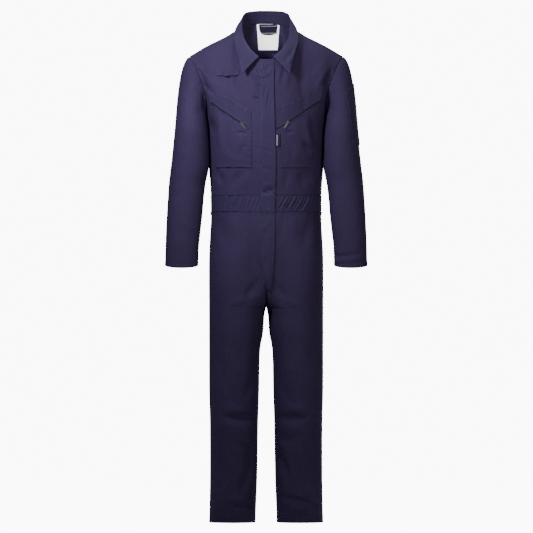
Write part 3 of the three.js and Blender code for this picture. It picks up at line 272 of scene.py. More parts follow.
class Form:
    """The worn form of the suit, as the solids have it: points in mm from shares of its sections."""

    @staticmethod
    def body(facing: Facing, u: Values, z: Values) -> np.ndarray:
        """Reads the body's section.

        Args:
            facing: its front or its rear half.
            u: from the centre (0) to the side seam (1).
            z: the height.

        Returns:
            The points.
        """
        row = BODY_SECTIONS.at(z)
        depth = row["front"] if facing is Facing.FRONT else row["rear"]
        edge = row["wide"] + facing.value * HALF_GAP
        turn = np.asarray(u) * math.pi / 2
        x = HALF_GAP + (row["half"] - HALF_GAP) * power(np.sin(turn), BODY_SQUARE)
        y = edge + (depth - edge) * power(np.cos(turn), BODY_SQUARE)
        return np.stack(np.broadcast_arrays(x, y, np.asarray(z, dtype=float)), -1)

    @staticmethod
    def trousers(facing: Facing, u: Values, z: Values) -> np.ndarray:
        """Reads the trousers, whose legs grow out of the body's section above the crotch.

        Args:
            facing: the front or the rear half.
            u: from the inner seam (0) to the outer seam (1).
            z: the height.

        Returns:
            The points.
        """
        z = np.asarray(z, dtype=float)
        row = LEG_SECTIONS.at(z)
        middle, half = (row["outer"] + row["inner"]) / 2, (row["outer"] - row["inner"]) / 2
        depth = row["front"] if facing is Facing.FRONT else row["rear"]
        edge = row["wide"] + facing.value * HALF_GAP
        turn = (np.asarray(u) - 0.5) * math.pi
        x = middle + half * np.sign(turn) * power(np.abs(np.sin(turn)), BODY_SQUARE)
        y = edge + (depth - edge) * power(np.cos(turn), BODY_SQUARE)
        share = np.clip((FORK_TOP[facing] - z) / (FORK_TOP[facing] - CROTCH), 0, 1)
        fork = 1 - np.sqrt(1 - share * share)
        slow = smoothstep(BAND_BOTTOM - z, 0, BAND_BOTTOM - CROTCH)
        outward = smoothstep(np.asarray(u), FORK_SIDE, OUTER_SIDE)
        body = BODY_SECTIONS.at(z)
        body_depth = body["front"] if facing is Facing.FRONT else body["rear"]
        body_edge = body["wide"] + facing.value * HALF_GAP
        across = np.clip(x / body["half"], 0, 1)
        body_y = body_edge + (body_depth - body_edge) * power(1 - across**BODY_SQUARE, 2 * BODY_SQUARE)
        blend = np.where(z <= CROTCH, 1.0, fork + (slow - fork) * outward)
        y = body_y + (y - body_y) * blend
        return np.stack(np.broadcast_arrays(np.maximum(x, HALF_GAP), y, z), -1)

    @classmethod
    def upper(cls, facing: Facing, u: Values, v: Values) -> np.ndarray:
        """Reads the form above the chest line.

        Args:
            facing: the front or the rear half.
            u: from the centre (0) to the armhole (1).
            v: from the chest line (0) to the neckline or shoulder seam (1).

        Returns:
            The points.
        """
        u, v = np.broadcast_arrays(np.asarray(u, dtype=float), np.asarray(v, dtype=float))
        start = cls.body(facing, u, np.full(u.shape, CHEST_LINE))
        lines = FRONT_LINES if facing is Facing.FRONT else BACK_LINES
        top = lines.at(u)
        top_y = np.where(u > NECK_POINT, lines.straight("y", u), top["y"])
        return np.stack([
            hermite(start[..., 0], top["x"] + HALF_GAP, top["riseX"], top["meetX"], v),
            hermite(start[..., 1], top_y + facing.value * HALF_GAP, top["riseY"], top["meetY"], v),
            hermite(start[..., 2], top["z"], top["riseZ"], top["meetZ"], v),
        ], -1)

    @classmethod
    def torso(cls, facing: Facing, u: Values, v: Values) -> np.ndarray:
        """Reads an upper panel.

        Args:
            facing: the front or the rear half.
            u: from the centre (0) to the side (1).
            v: as above the chest line; below 0 it is millimetres under that line.

        Returns:
            The points.
        """
        u, v = np.broadcast_arrays(np.asarray(u, dtype=float), np.asarray(v, dtype=float))
        low = cls.body(facing, u, CHEST_LINE + np.minimum(v, 0))
        high = cls.upper(facing, u, np.maximum(v, 0))
        return np.where((v < 0)[..., None], low, high)

    @staticmethod
    def ring(angle: Values, z: Values) -> np.ndarray:
        """Reads the left sleeve's section.

        Args:
            angle: round from its outer side by the front.
            z: the height.

        Returns:
            The points.
        """
        row = SLEEVE_RINGS.at(z)
        middle, half = (row["outer"] + row["inner"]) / 2, (row["outer"] - row["inner"]) / 2
        across, ahead = np.cos(angle), np.sin(angle)
        x = middle + half * np.sign(across) * power(np.abs(across), SLEEVE_SQUARE)
        y = row["mid"] - row["deep"] * np.sign(ahead) * power(np.abs(ahead), SLEEVE_SQUARE)
        return np.stack(np.broadcast_arrays(x, y, z - row["dip"] * np.maximum(ahead, 0)), -1)

    @classmethod
    def armhole(cls, s: Values) -> np.ndarray:
        """Reads the left armhole.

        Args:
            s: from the shoulder (0) by the front, the underarm and the back to the shoulder (1).

        Returns:
            The points.
        """
        s = np.asarray(s, dtype=float)
        one = np.ones_like(s)
        front = cls.upper(Facing.FRONT, one, np.clip(1 - 2 * s, 0, 1))
        rear = cls.upper(Facing.REAR, one, np.clip(2 * s - 1, 0, 1))
        return np.where((s <= 0.5)[..., None], front, rear)

    @classmethod
    def sleeve(cls, s: Values, v: Values) -> np.ndarray:
        """Reads the left sleeve.

        Args:
            s: round it, as on the armhole.
            v: 0 at the armhole, 1 at the first ring and 2 at the cuff.

        Returns:
            The points.
        """
        s, v = np.broadcast_arrays(np.asarray(s, dtype=float), np.asarray(v, dtype=float))
        turn = s - np.floor(s)
        angle = 2 * math.pi * turn + UNDERARM_TURN * np.sin(math.pi * turn) ** 2
        first, last = SLEEVE_RINGS.keys[-1], SLEEVE_RINGS.keys[0]
        arm = cls.ring(angle, first + (last - first) * np.maximum(v - 1, 0))
        head = SLEEVE_HEAD.at(turn)
        go = np.stack([head["goX"], head["goY"], head["goZ"]], -1)
        along = unit(cls.armhole(np.minimum(turn + 0.01, 1)) - cls.armhole(np.maximum(turn - 0.01, 0)))
        outward = unit(go - along * (go * along).sum(-1, keepdims=True))
        start = cls.armhole(turn) + outward * ARMHOLE_GAP
        end = cls.ring(angle, np.full(turn.shape, first))
        below = cls.ring(angle, np.full(turn.shape, first - 10))
        arrive = unit(below - end) * np.linalg.norm(end - start, axis=-1, keepdims=True)
        top = hermite(start, end, go, arrive, np.clip(v, 0, 1)[..., None])
        return cls.clear_of_body(np.where((v > 1)[..., None], arm, top))

    @staticmethod
    def clear_of_body(points: np.ndarray) -> np.ndarray:
        """Keeps the sleeve just outside the side of the body.

        Args:
            points: the sleeve's points.

        Returns:
            The points, moved out where they were too near.
        """
        row = BODY_SECTIONS.at(np.minimum(points[..., 2], CHEST_LINE))
        depth = np.where(points[..., 1] < row["wide"], row["front"], row["rear"])
        share = np.clip(np.abs((points[..., 1] - row["wide"]) / (depth - row["wide"])), 0, 1)
        side = row["half"] * power(1 - share**BODY_SQUARE, 2 * BODY_SQUARE) + SLEEVE_CLEARANCE
        beside = points[..., 2] <= CHEST_LINE + UNDERARM_RISE
        points = points.copy()
        points[..., 0] = np.where(beside, np.maximum(points[..., 0], side), points[..., 0])
        return points


def unit(vectors: np.ndarray) -> np.ndarray:
    """Returns the vectors at length 1."""
    return vectors / np.maximum(np.linalg.norm(vectors, axis=-1, keepdims=True), 1e-9)


def grid_normals(points: np.ndarray, flip: bool = False) -> np.ndarray:
    """Returns the unit normals of a grid: its first axis crossed with its second, or turned round."""
    normals = unit(np.cross(np.gradient(points, axis=0), np.gradient(points, axis=1)))
    return -normals if flip else normals


def mirrored(points: np.ndarray) -> np.ndarray:
    """Returns the points on the other side of the body."""
    return points * np.array([-1.0, 1.0, 1.0])


def lengths(points: np.ndarray, axis: int = 0) -> np.ndarray:
    """Measures along a path, or along a grid's columns or rows.

    Args:
        points: the path or the grid.
        axis: which way it is measured.

    Returns:
        The distance of each point from the first.
    """
    steps = np.linalg.norm(np.diff(points, axis=axis), axis=-1)
    zero = np.zeros_like(np.take(steps, [0], axis=axis))
    return np.concatenate([zero, np.cumsum(steps, axis=axis)], axis=axis)


def along_path(distance: float, sizes: np.ndarray, path: np.ndarray) -> np.ndarray:
    """Returns the point, or the direction, at a distance along a path."""
    return np.array([np.interp(distance, sizes, path[:, axis]) for axis in range(3)])


@dataclass(frozen=True)
class Edges:
    """How far each place of a grid lies from its four edges, in mm along the cloth."""

    start: np.ndarray
    end: np.ndarray
    low: np.ndarray
    high: np.ndarray

    @classmethod
    def of(cls, points: np.ndarray) -> "Edges":
        """Measures a grid, whose first axis runs from start to end and whose second from low to high."""
        across, along = lengths(points, 0), lengths(points, 1)
        return cls(across, across[-1:] - across, along, along[:, -1:] - along)

    def nearest(self) -> np.ndarray:
        """Returns the distance to the nearest edge."""
        return np.minimum.reduce([self.start, self.end, self.low, self.high])


def marks(length: float, fine: float = 0.9, reach: float = 10.0, coarse: float = 3.4,
          start: bool = True, end: bool = True) -> np.ndarray:
    """Returns shares along a length, close together near the sewn ends and wider between.

    Args:
        length: the length in mm.
        fine: the step near a sewn end.
        reach: how far from an end the fine steps run.
        coarse: the step elsewhere.
        start: whether the start is sewn.
        end: whether the end is sewn.

    Returns:
        The shares, from 0 to 1.
    """
    near = np.arange(0, reach, fine)
    low = near if start else np.array([0.0])
    high = length - near[::-1] if end else np.array([length])
    inner = high[0] - low[-1]
    between = np.linspace(low[-1], high[0], max(2, int(round(inner / coarse)) + 1))[1:-1]
    return np.unique(np.round(np.concatenate([low, between, high]) / length, 6))


# Folds


@dataclass(frozen=True)
class Fold:
    """A soft fold: its path seen from the front or back, half width and depth (below 0 is a trough)."""

    path: tuple[tuple[float, float], ...]
    wide: float
    depth: float

    def depth_at(self, x: np.ndarray, z: np.ndarray) -> np.ndarray:
        """Works out how far the fold moves the cloth.

        Args:
            x: places across.
            z: heights.

        Returns:
            The move out of the cloth at each place.
        """
        points = np.array(self.path, dtype=float)
        steps = np.diff(points, axis=0)
        sizes = np.maximum(np.linalg.norm(steps, axis=1), 1e-6)
        starts = np.concatenate([[0], np.cumsum(sizes)])
        best = np.full(x.shape, 1e9)
        along = np.zeros(x.shape)
        for (px, pz), step, size, begun in zip(points[:-1], steps, sizes, starts):
            t = ((x - px) * step[0] + (z - pz) * step[1]) / size**2
            t_in = np.clip(t, 0, 1)
            away = np.hypot(x - px - t_in * step[0], z - pz - t_in * step[1])
            closer = away < best
            best = np.where(closer, away, best)
            along = np.where(closer, (begun + t_in * size) / starts[-1], along)
        taper = np.sin(math.pi * np.clip(along, 0.0, 1.0)) ** 0.8 * 0.85 + 0.15
        q = best / (self.wide * (0.6 + 0.4 * taper))
        return self.depth * taper * (1 - 0.45 * q * q) * np.exp(-0.62 * q * q)


def folds(*rows: tuple[float, ...]) -> tuple[Fold, ...]:
    """Returns folds from rows of a half width, a depth and then the x and z of each point."""
    return tuple(Fold(tuple(zip(row[2::2], row[3::2])), row[0], row[1]) for row in rows)


def folds_at(pressed: tuple[Fold, ...], x: np.ndarray, z: np.ndarray) -> np.ndarray:
    """Adds up several folds.

    Args:
        pressed: the folds.
        x: places across.
        z: heights.

    Returns:
        The move out of the cloth at each place.
    """
    total = np.zeros(x.shape)
    for fold in pressed:
        total += fold.depth_at(x, z)
    return total


# Folds of the upper front, as the photo shows them
CHEST_FOLDS = folds(
    (5, -4.3, -45, -115, -26, -131, -7, -133, 8, -122), (6, 2.6, -50, -128, -30, -144, -10, -146),
    (5, -3.2, -28, -100, -15, -122), (13, 3.2, -60, -126, -38, -150, -30, -190),
    (12, -2.5, -100, -128, -84, -170, -76, -196), (6, 2.6, 40, -104, 34, -150),
    (9, 2.2, 66, -112, 56, -160), (5, -2.0, 52, -92, 49, -134),
    (4.2, -4.6, -40, -188, -28, -191, -18, -192), (13, -3.2, -192, -112, -150, -160),
    (9, 2.2, -205, -90, -176, -128), (12, -4.3, 196, -104, 166, -150),
    (13, 2.6, 176, -84, 140, -128), (16, -2.0, 120, -90, 104, -150),
    (11, -1.7, -128, -70, -112, -100), (14, -3.5, -150, -300, -166, -250),
    (11, -3.9, 130, -240, 146, -300, 160, -360), (12, -3.0, 108, -318, 140, -352),
    (12, 3.0, -140, -232, -132, -330), (11, -3.9, -150, -398, -128, -440),
    (12, -3.6, -74, -402, -100, -450), (10, 2.2, -52, -408, -64, -460),
    (10, -2.5, 62, -404, 54, -458), (13, -3.5, 100, -406, 112, -452),
    (10, 2.6, 134, -420, 150, -458), (4, -1.7, -34, -330, -22, -344),
    (4, -1.7, -36, -376, -20, -386),
)
# Short deep folds where the armholes pull the fronts
ARMHOLE_FOLDS = folds(
    (8, -5.5, 204, -108, 190, -130, 172, -158), (9, 3.6, 186, -96, 164, -132, 150, -150),
    (6, -3.0, 198, -150, 176, -172), (8, -5.0, -196, -140, -176, -158, -150, -178),
    (9, 3.4, -190, -112, -166, -140, -140, -154), (6, -3.0, -200, -104, -186, -128),
)
# Folds of the collar's leaves
COLLAR_FOLDS = folds(
    (9, -3.4, 86, -34, 72, -58, 54, -80), (8, 2.4, 80, -62, 62, -92),
    (8, -2.4, -90, -38, -76, -66, -60, -84), (7, 2.2, -84, -70, -66, -96),
    (5, -1.6, -52, -84, -68, -102),
)
# Folds of the pocket bags
POCKET_FOLDS = {
    Side.RIGHT: folds(
        (4.5, -3.4, -56, -294, -70, -291, -88, -294), (9, -3.0, -144, -232, -158, -270, -166, -330),
        (10, 2.4, -132, -240, -142, -290, -138, -350), (9, -1.8, -112, -262, -118, -318),
        (9, -1.8, -60, -318, -84, -370), (4, -1.6, -52, -336, -70, -330),
    ),
    Side.LEFT: folds(
        (4.5, -3.2, 56, -286, 66, -291, 80, -288), (9, -3.2, 126, -238, 142, -290, 158, -372),
        (9, 2.4, 112, -262, 126, -316, 134, -366), (8, -3.0, 104, -318, 126, -338, 146, -344),
        (10, -2.0, 58, -300, 76, -340, 72, -376), (4, -1.6, 46, -330, 62, -326),
    ),
}
# Dents of the care label
CARE_FOLDS = folds(
    (4, -0.7, -10, -8, 16, -20), (5, 0.7, 14, 4, 2, -34),
)
# Folds of the placket
PLACKET_FOLDS = folds(
    (5, -2.6, -14, -88, 2, -104, 14, -92), (5, 2.2, -12, -102, 4, -120, 18, -104),
    (5, -2.6, -15, -128, -4, -136, 12, -124), (4.2, 2.6, 12, -150, 2, -172, -5, -225),
    (3.6, -2.6, 2, -154, -8, -180, -11, -250), (4.5, -1.2, 16, -190, 12, -250),
    (5, -0.7, -14, -312, 4, -306), (6, -1.1, -14, -338, 22, -350),
    (6, -1.2, -14, -392, 24, -404), (8, 0.8, -12, -424, 26, -430),
    (6.5, -4.2, -12, -466, 6, -464, 24, -458), (7, 2.2, -12, -446, 24, -440),
    (4, -0.8, -8, -512, 18, -510), (6, 1.1, -14, -572, 6, -560, 10, -540),
    (8, -1.0, -14, -590, 14, -586), (8, 1.2, -14, -660, 8, -640),
    (7, -1.1, -4, -700, 2, -650),
)
# Folds of the trouser fronts
LEG_FOLDS = folds(
    (13, -4.1, -50, -530, -40, -620, -30, -700), (15, 2.5, -96, -534, -90, -600),
    (16, -2.9, -140, -545, -120, -620), (10, -2.7, 48, -530, 42, -610),
    (11, 2.5, 84, -534, 80, -600), (15, -3.6, 128, -548, 104, -640),
    (12, -5.4, -20, -716, -64, -790), (12, -4.9, 22, -724, 60, -790),
    (12, 2.9, -34, -770, -110, -800), (12, 2.7, 34, -772, 104, -806),
    (15, -8.3, -128, -1130, -60, -1136, -28, -1128), (15, 4.3, -132, -1104, -70, -1108),
    (15, -7.7, 124, -1130, 70, -1136, 32, -1128), (15, 4.3, 130, -1104, 70, -1108),
    (13, -7.4, -98, -1202, -52, -1226, -46, -1276, -78, -1360),
    (16, 4.3, -120, -1240, -84, -1290, -96, -1350), (15, -4.7, 36, -1180, 70, -1200, 104, -1176),
    (13, -5.8, 32, -1228, 76, -1332), (15, 4.0, 96, -1216, 120, -1300),
    (10, -6.3, -96, -1386, -36, -1396), (11, 3.4, -120, -1372, -70, -1376),
    (10, -6.3, 36, -1366, 96, -1374, 160, -1386), (10, 3.4, 60, -1396, 140, -1408),
    (18, -2.9, -150, -930, -120, -1040), (18, -2.9, 148, -900, 128, -1000),
    (16, 2.5, -44, -880, -60, -1010), (16, 2.5, 52, -900, 66, -1030),
    (13, -3.2, -40, -1020, -64, -1080), (13, -2.9, 44, -1040, 74, -1090),
)
# Plain folds of the same kind on the back, which the photo hides
BACK_FOLDS = folds(
    (14, -2.9, -196, -108, -150, -176), (14, -2.9, 198, -112, 156, -184),
    (16, 2.0, -172, -82, -128, -140), (16, 2.0, 170, -88, 124, -150),
    (12, -3.9, -120, -392, -70, -436, -20, -440), (12, -3.9, 126, -386, 80, -430, 26, -446),
    (12, 2.2, -90, -420, -10, -416), (12, 2.2, 96, -412, 14, -424),
    (11, -2.9, -146, -420, -108, -462), (11, -2.9, 148, -410, 112, -458),
    (20, 1.6, -60, -60, -40, -150), (20, 1.6, 56, -70, 48, -170),
    (22, -2.0, -20, -200, -30, -330), (20, -1.6, 50, -240, 62, -350),
)
SEAT_FOLDS = folds(
    (14, -3.9, -16, -640, -60, -716, -120, -750), (14, -3.9, 16, -632, 66, -710, 126, -742),
    (12, -3.9, -22, -700, -70, -784), (12, -3.6, 22, -706, 64, -790),
    (14, 2.6, -40, -740, -110, -800), (14, 2.6, 42, -744, 112, -796),
    (11, -2.1, -60, -535, -56, -600), (11, -2.1, 62, -535, 70, -596),
    (13, 2.0, -112, -538, -120, -610), (13, 2.0, 116, -540, 122, -604),
    (13, -5.9, -132, -1110, -84, -1130, -36, -1112), (13, -5.9, 134, -1116, 90, -1136, 40, -1116),
    (12, 3.1, -124, -1146, -60, -1160), (12, 3.1, 124, -1150, 66, -1164),
    (11, -3.2, -120, -1180, -56, -1196), (11, -3.2, 118, -1186, 56, -1200),
    (14, -3.6, -130, -1290, -60, -1330), (14, -3.6, 130, -1280, 64, -1316),
    (11, -2.9, -120, -1390, -50, -1380), (11, -2.9, 122, -1384, 56, -1394),
    (18, -2.0, -110, -880, -70, -960), (18, -2.0, 112, -890, 76, -970),
)
# Folds of a sleeve on its own flat plan: mm round from the outer side by the front, and height
SLEEVE_FOLDS = {
    Side.RIGHT: folds(
        (7, -3.0, 60, -96, 96, -120), (20, -6.8, 98, -100, 126, -150, 138, -204),
        (6, 1.9, 84, -92, 110, -112), (12, -2.3, 128, -190, 84, -240),
        (12, -5.1, 170, -380, 130, -430, 96, -448), (10, 3.5, 176, -414, 140, -452, 120, -484),
        (11, -4.3, 186, -452, 150, -500), (18, -1.9, 60, -420, 100, -470),
        (15, -1.9, 40, -560, 84, -620), (12, -2.7, 150, -590, 110, -640),
        (13, -5.1, -40, -430, -96, -470), (12, 3.1, -50, -470, -104, -500),
        (12, -3.9, -46, -500, -110, -530), (15, -2.7, -60, -150, -84, -230),
        (12, -2.3, -50, -600, -90, -650),
    ),
    Side.LEFT: folds(
        (7, -3.5, 74, -88, 112, -124), (20, -6.8, 98, -104, 126, -150, 138, -204),
        (7, 2.3, 100, -96, 124, -130), (8, -2.3, 60, -110, 84, -140),
        (12, -2.3, 128, -180, 90, -236), (12, -4.7, 174, -396, 136, -440, 104, -452),
        (11, 3.1, 182, -436, 140, -480), (11, -4.3, 184, -470, 146, -520),
        (18, -1.9, 54, -400, 86, -480), (6, -3.5, 30, -640, 78, -652, 120, -640),
        (6, 2.2, 30, -656, 80, -666, 118, -654), (12, -1.9, 140, -600, 100, -630),
        (13, -5.1, -46, -426, -100, -462), (12, 3.1, -52, -464, -108, -492),
        (12, -3.9, -44, -504, -104, -536), (15, -2.7, -64, -160, -90, -240),
    ),
}


# Finishes


def linear(code: str) -> tuple[float, float, float, float]:
    """Turns a colour to linear light.

    Args:
        code: its sRGB hex code.

    Returns:
        Red, green, blue and a full alpha.
    """
    parts = [int(code[index:index + 2], 16) / 255 for index in (1, 3, 5)]
    light = [part / 12.92 if part <= 0.04045 else ((part + 0.055) / 1.055) ** 2.4 for part in parts]
    return (*light, 1.0)


def add_node(tree: bpy.types.NodeTree, kind: str, settings: dict | None = None, **inputs) -> bpy.types.Node:
    """Adds a shader node.

    Args:
        tree: the material's node tree.
        kind: the node's type.
        settings: properties of the node.
        inputs: values or sockets by the input's name, with _ for a space.

    Returns:
        The node.
    """
    node = tree.nodes.new(kind)
    for name, value in (settings or {}).items():
        setattr(node, name, value)
    set_inputs(node, **inputs)
    return node


def set_inputs(node: bpy.types.Node, **inputs) -> None:
    """Gives a node's inputs their values or links.

    Args:
        node: the node.
        inputs: values or sockets by the input's name, with _ for a space.
    """
    for name, value in inputs.items():
        socket = node.inputs[name.replace("_", " ")]
        if isinstance(value, bpy.types.NodeSocket):
            node.id_data.links.new(value, socket)
        else:
            socket.default_value = value


def new_material(name: str) -> tuple[bpy.types.Material, bpy.types.NodeTree, bpy.types.Node]:
    """Returns a new material, its node tree and its shader."""
    material = bpy.data.materials.new(name)
    material.use_nodes = True
    return material, material.node_tree, material.node_tree.nodes["Principled BSDF"]


# The real rib is 0.6 mm apart, too fine for any picture of a whole suit, so it is drawn at about 2.2 mm
RIB_PITCH, RIB_LEAN = 2.2, 62


@dataclass(frozen=True)
class Twill:
    """Polycotton twill: matt, with a fine diagonal rib and lint, and folded edges painted paler, partly for
    wear and partly as a painted highlight.
    """

    name: str
    colour: str
    worn: str
    rib: float = 1.0
    crumple: float = 1.0

    def build(self) -> bpy.types.Material:
        """Returns the material."""
        material, tree, shader = new_material(self.name)
        flat = add_node(tree, "ShaderNodeUVMap", {"uv_map": "UVMap"}).outputs["UV"]
        turned = add_node(tree, "ShaderNodeMapping", Vector=flat, Rotation=(0, 0, math.radians(RIB_LEAN)))
        rib = add_node(tree, "ShaderNodeTexWave", {"bands_direction": "X"}, Vector=turned.outputs["Vector"],
                       Scale=1 / (RIB_PITCH * MM) / math.pi, Distortion=0.6, Detail=1.0)
        slub = add_node(tree, "ShaderNodeTexNoise", Vector=flat, Scale=260.0, Detail=3.0, Roughness=0.6)
        soft = add_node(tree, "ShaderNodeTexNoise", Vector=flat, Scale=22.0, Detail=2.0, Roughness=0.5)
        wide = add_node(tree, "ShaderNodeTexNoise", Vector=flat, Scale=7.0, Detail=1.0, Roughness=0.4)
        # The edge attribute paints the cloth paler: partly wear, partly a painted highlight where folded
        # edges catch the light
        edge = add_node(tree, "ShaderNodeAttribute", {"attribute_name": "worn"}).outputs["Fac"]
        mottle = add_node(tree, "ShaderNodeMapRange", Value=slub.outputs["Fac"],
                          From_Min=0.25, From_Max=0.75, To_Min=0.0, To_Max=0.16)
        patch = add_node(tree, "ShaderNodeMapRange", Value=wide.outputs["Fac"],
                         From_Min=0.3, From_Max=0.7, To_Min=0.0, To_Max=0.14)
        lint = add_node(tree, "ShaderNodeMath", {"operation": "ADD"})
        tree.links.new(mottle.outputs["Result"], lint.inputs[0])
        tree.links.new(patch.outputs["Result"], lint.inputs[1])
        total = add_node(tree, "ShaderNodeMath", {"operation": "ADD", "use_clamp": True})
        tree.links.new(lint.outputs["Value"], total.inputs[0])
        tree.links.new(edge, total.inputs[1])
        mix = add_node(tree, "ShaderNodeMix", {"data_type": "RGBA"})
        mix.inputs[6].default_value = linear(self.colour)
        mix.inputs[7].default_value = linear(self.worn)
        tree.links.new(total.outputs["Value"], mix.inputs["Factor"])
        tree.links.new(mix.outputs[2], shader.inputs["Base Color"])
        first = add_node(tree, "ShaderNodeBump", Height=soft.outputs["Fac"], Strength=0.45 * self.crumple,
                         Distance=3.2 * MM)
        second = add_node(tree, "ShaderNodeBump", Height=slub.outputs["Fac"], Strength=0.3,
                          Distance=0.5 * MM, Normal=first.outputs["Normal"])
        third = add_node(tree, "ShaderNodeBump", Height=rib.outputs["Fac"], Strength=0.25 * self.rib,
                         Distance=0.25 * MM, Normal=second.outputs["Normal"])
        tree.links.new(third.outputs["Normal"], shader.inputs["Normal"])
        set_inputs(shader, Roughness=0.82, Specular_IOR_Level=0.22, Sheen_Weight=0.05, Sheen_Roughness=0.45,
                   Sheen_Tint=linear("#8a86b4"))
        return material


@dataclass(frozen=True)
class Plain:
    """A plain finish with a little grain: satin, thread, coil or plated metal."""

    name: str
    colour: str
    roughness: float
    metallic: float = 0.0
    grain: float = 900.0
    relief: float = 0.1
    painted_glow: float = 0.0
    spread: float = 0.08

    def build(self) -> bpy.types.Material:
        """Returns the material."""
        material, tree, shader = new_material(self.name)
        colour = linear(self.colour)
        # The emission is a painted glow, used on the satin so it stays white in the shade
        set_inputs(shader, Base_Color=colour, Metallic=self.metallic, Emission_Color=colour,
                   Emission_Strength=self.painted_glow)
        place = add_node(tree, "ShaderNodeTexCoord").outputs["Object"]
        noise = add_node(tree, "ShaderNodeTexNoise", Vector=place, Scale=self.grain, Detail=2.0)
        rough = add_node(tree, "ShaderNodeMapRange", Value=noise.outputs["Fac"],
                         To_Min=self.roughness - self.spread, To_Max=self.roughness + self.spread)
        tree.links.new(rough.outputs["Result"], shader.inputs["Roughness"])
        bump = add_node(tree, "ShaderNodeBump", Height=noise.outputs["Fac"], Strength=self.relief,
                        Distance=0.2 * MM)
        tree.links.new(bump.outputs["Normal"], shader.inputs["Normal"])
        return material


class Finishes:
    """Every finish of the suit, made once."""

    def __init__(self) -> None:
        """Builds the materials."""
        # Navy polycotton twill; its blue is slightly violet, and folded edges are painted a little paler,
        # for wear and as a painted highlight
        self.twill = Twill("navy_polycotton_twill", "#32284a", "#4d4370").build()
        # The same twill doubled: stiffer, so with fewer small crumples
        self.doubled = Twill("navy_twill_doubled", "#302849", "#4e4572", crumple=0.6).build()
        # Narrow woven polyester tape: darker and closer
        self.tape = Twill("navy_woven_tape", "#23203a", "#3b3760", rib=0.6, crumple=0.2).build()
        # Polyester core thread, a little paler than the cloth
        self.thread = Plain("polyester_thread", "#37315a", 0.65).build()
        # Nylon coil of the zips: dark, with a slight gloss
        self.coil = Plain("nylon_zip_coil", "#15121f", 0.6).build()
        # Nickel plated zinc of the sliders and tabs
        self.metal = Plain("nickel_plated_zinc", "#5a5b66", 0.5, metallic=1.0, grain=2500.0).build()
        # White satin of the care label, with an emission glow painted in that keeps it white in the shade
        self.satin = Plain("white_label_satin", "#f2f2f4", 0.5, grain=300.0, relief=0.25,
                           painted_glow=2.0).build()
        # Pale grey yarn woven into the labels
        self.pale = Plain("pale_label_yarn", "#8f909c", 0.7).build()


# Making pieces


def put_in_place(mesh: bpy.types.Mesh, material: bpy.types.Material) -> bpy.types.Object:
    """Makes an object of a mesh on the suit's body.

    Args:
        mesh: the mesh, which names the object.
        material: its finish.

    Returns:
        The object.
    """
    mesh.materials.append(material)
    piece = bpy.data.objects.new(mesh.name, mesh)
    bpy.context.scene.collection.objects.link(piece)
    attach(piece, BODY)
    return piece


def put_blocks(name: str, blocks: list[tuple[np.ndarray, ...]], material: bpy.types.Material) -> None:
    """Makes one piece of many small blocks.

    Args:
        name: the piece.
        blocks: for each, its centre and its three edges, in mm.
        material: its finish.
    """
    bm = bmesh.new()
    for centre, *sides in blocks:
        matrix = Matrix([(*side, 0) for side in sides] + [(0, 0, 0, 1)]).transposed()
        matrix = Matrix.Scale(MM, 4) @ matrix
        matrix.translation = Vector(centre * MM)
        bmesh.ops.create_cube(bm, size=1.0, matrix=matrix)
    mesh = bpy.data.meshes.new(name)
    bm.to_mesh(mesh)
    bm.free()
    put_in_place(mesh, material)


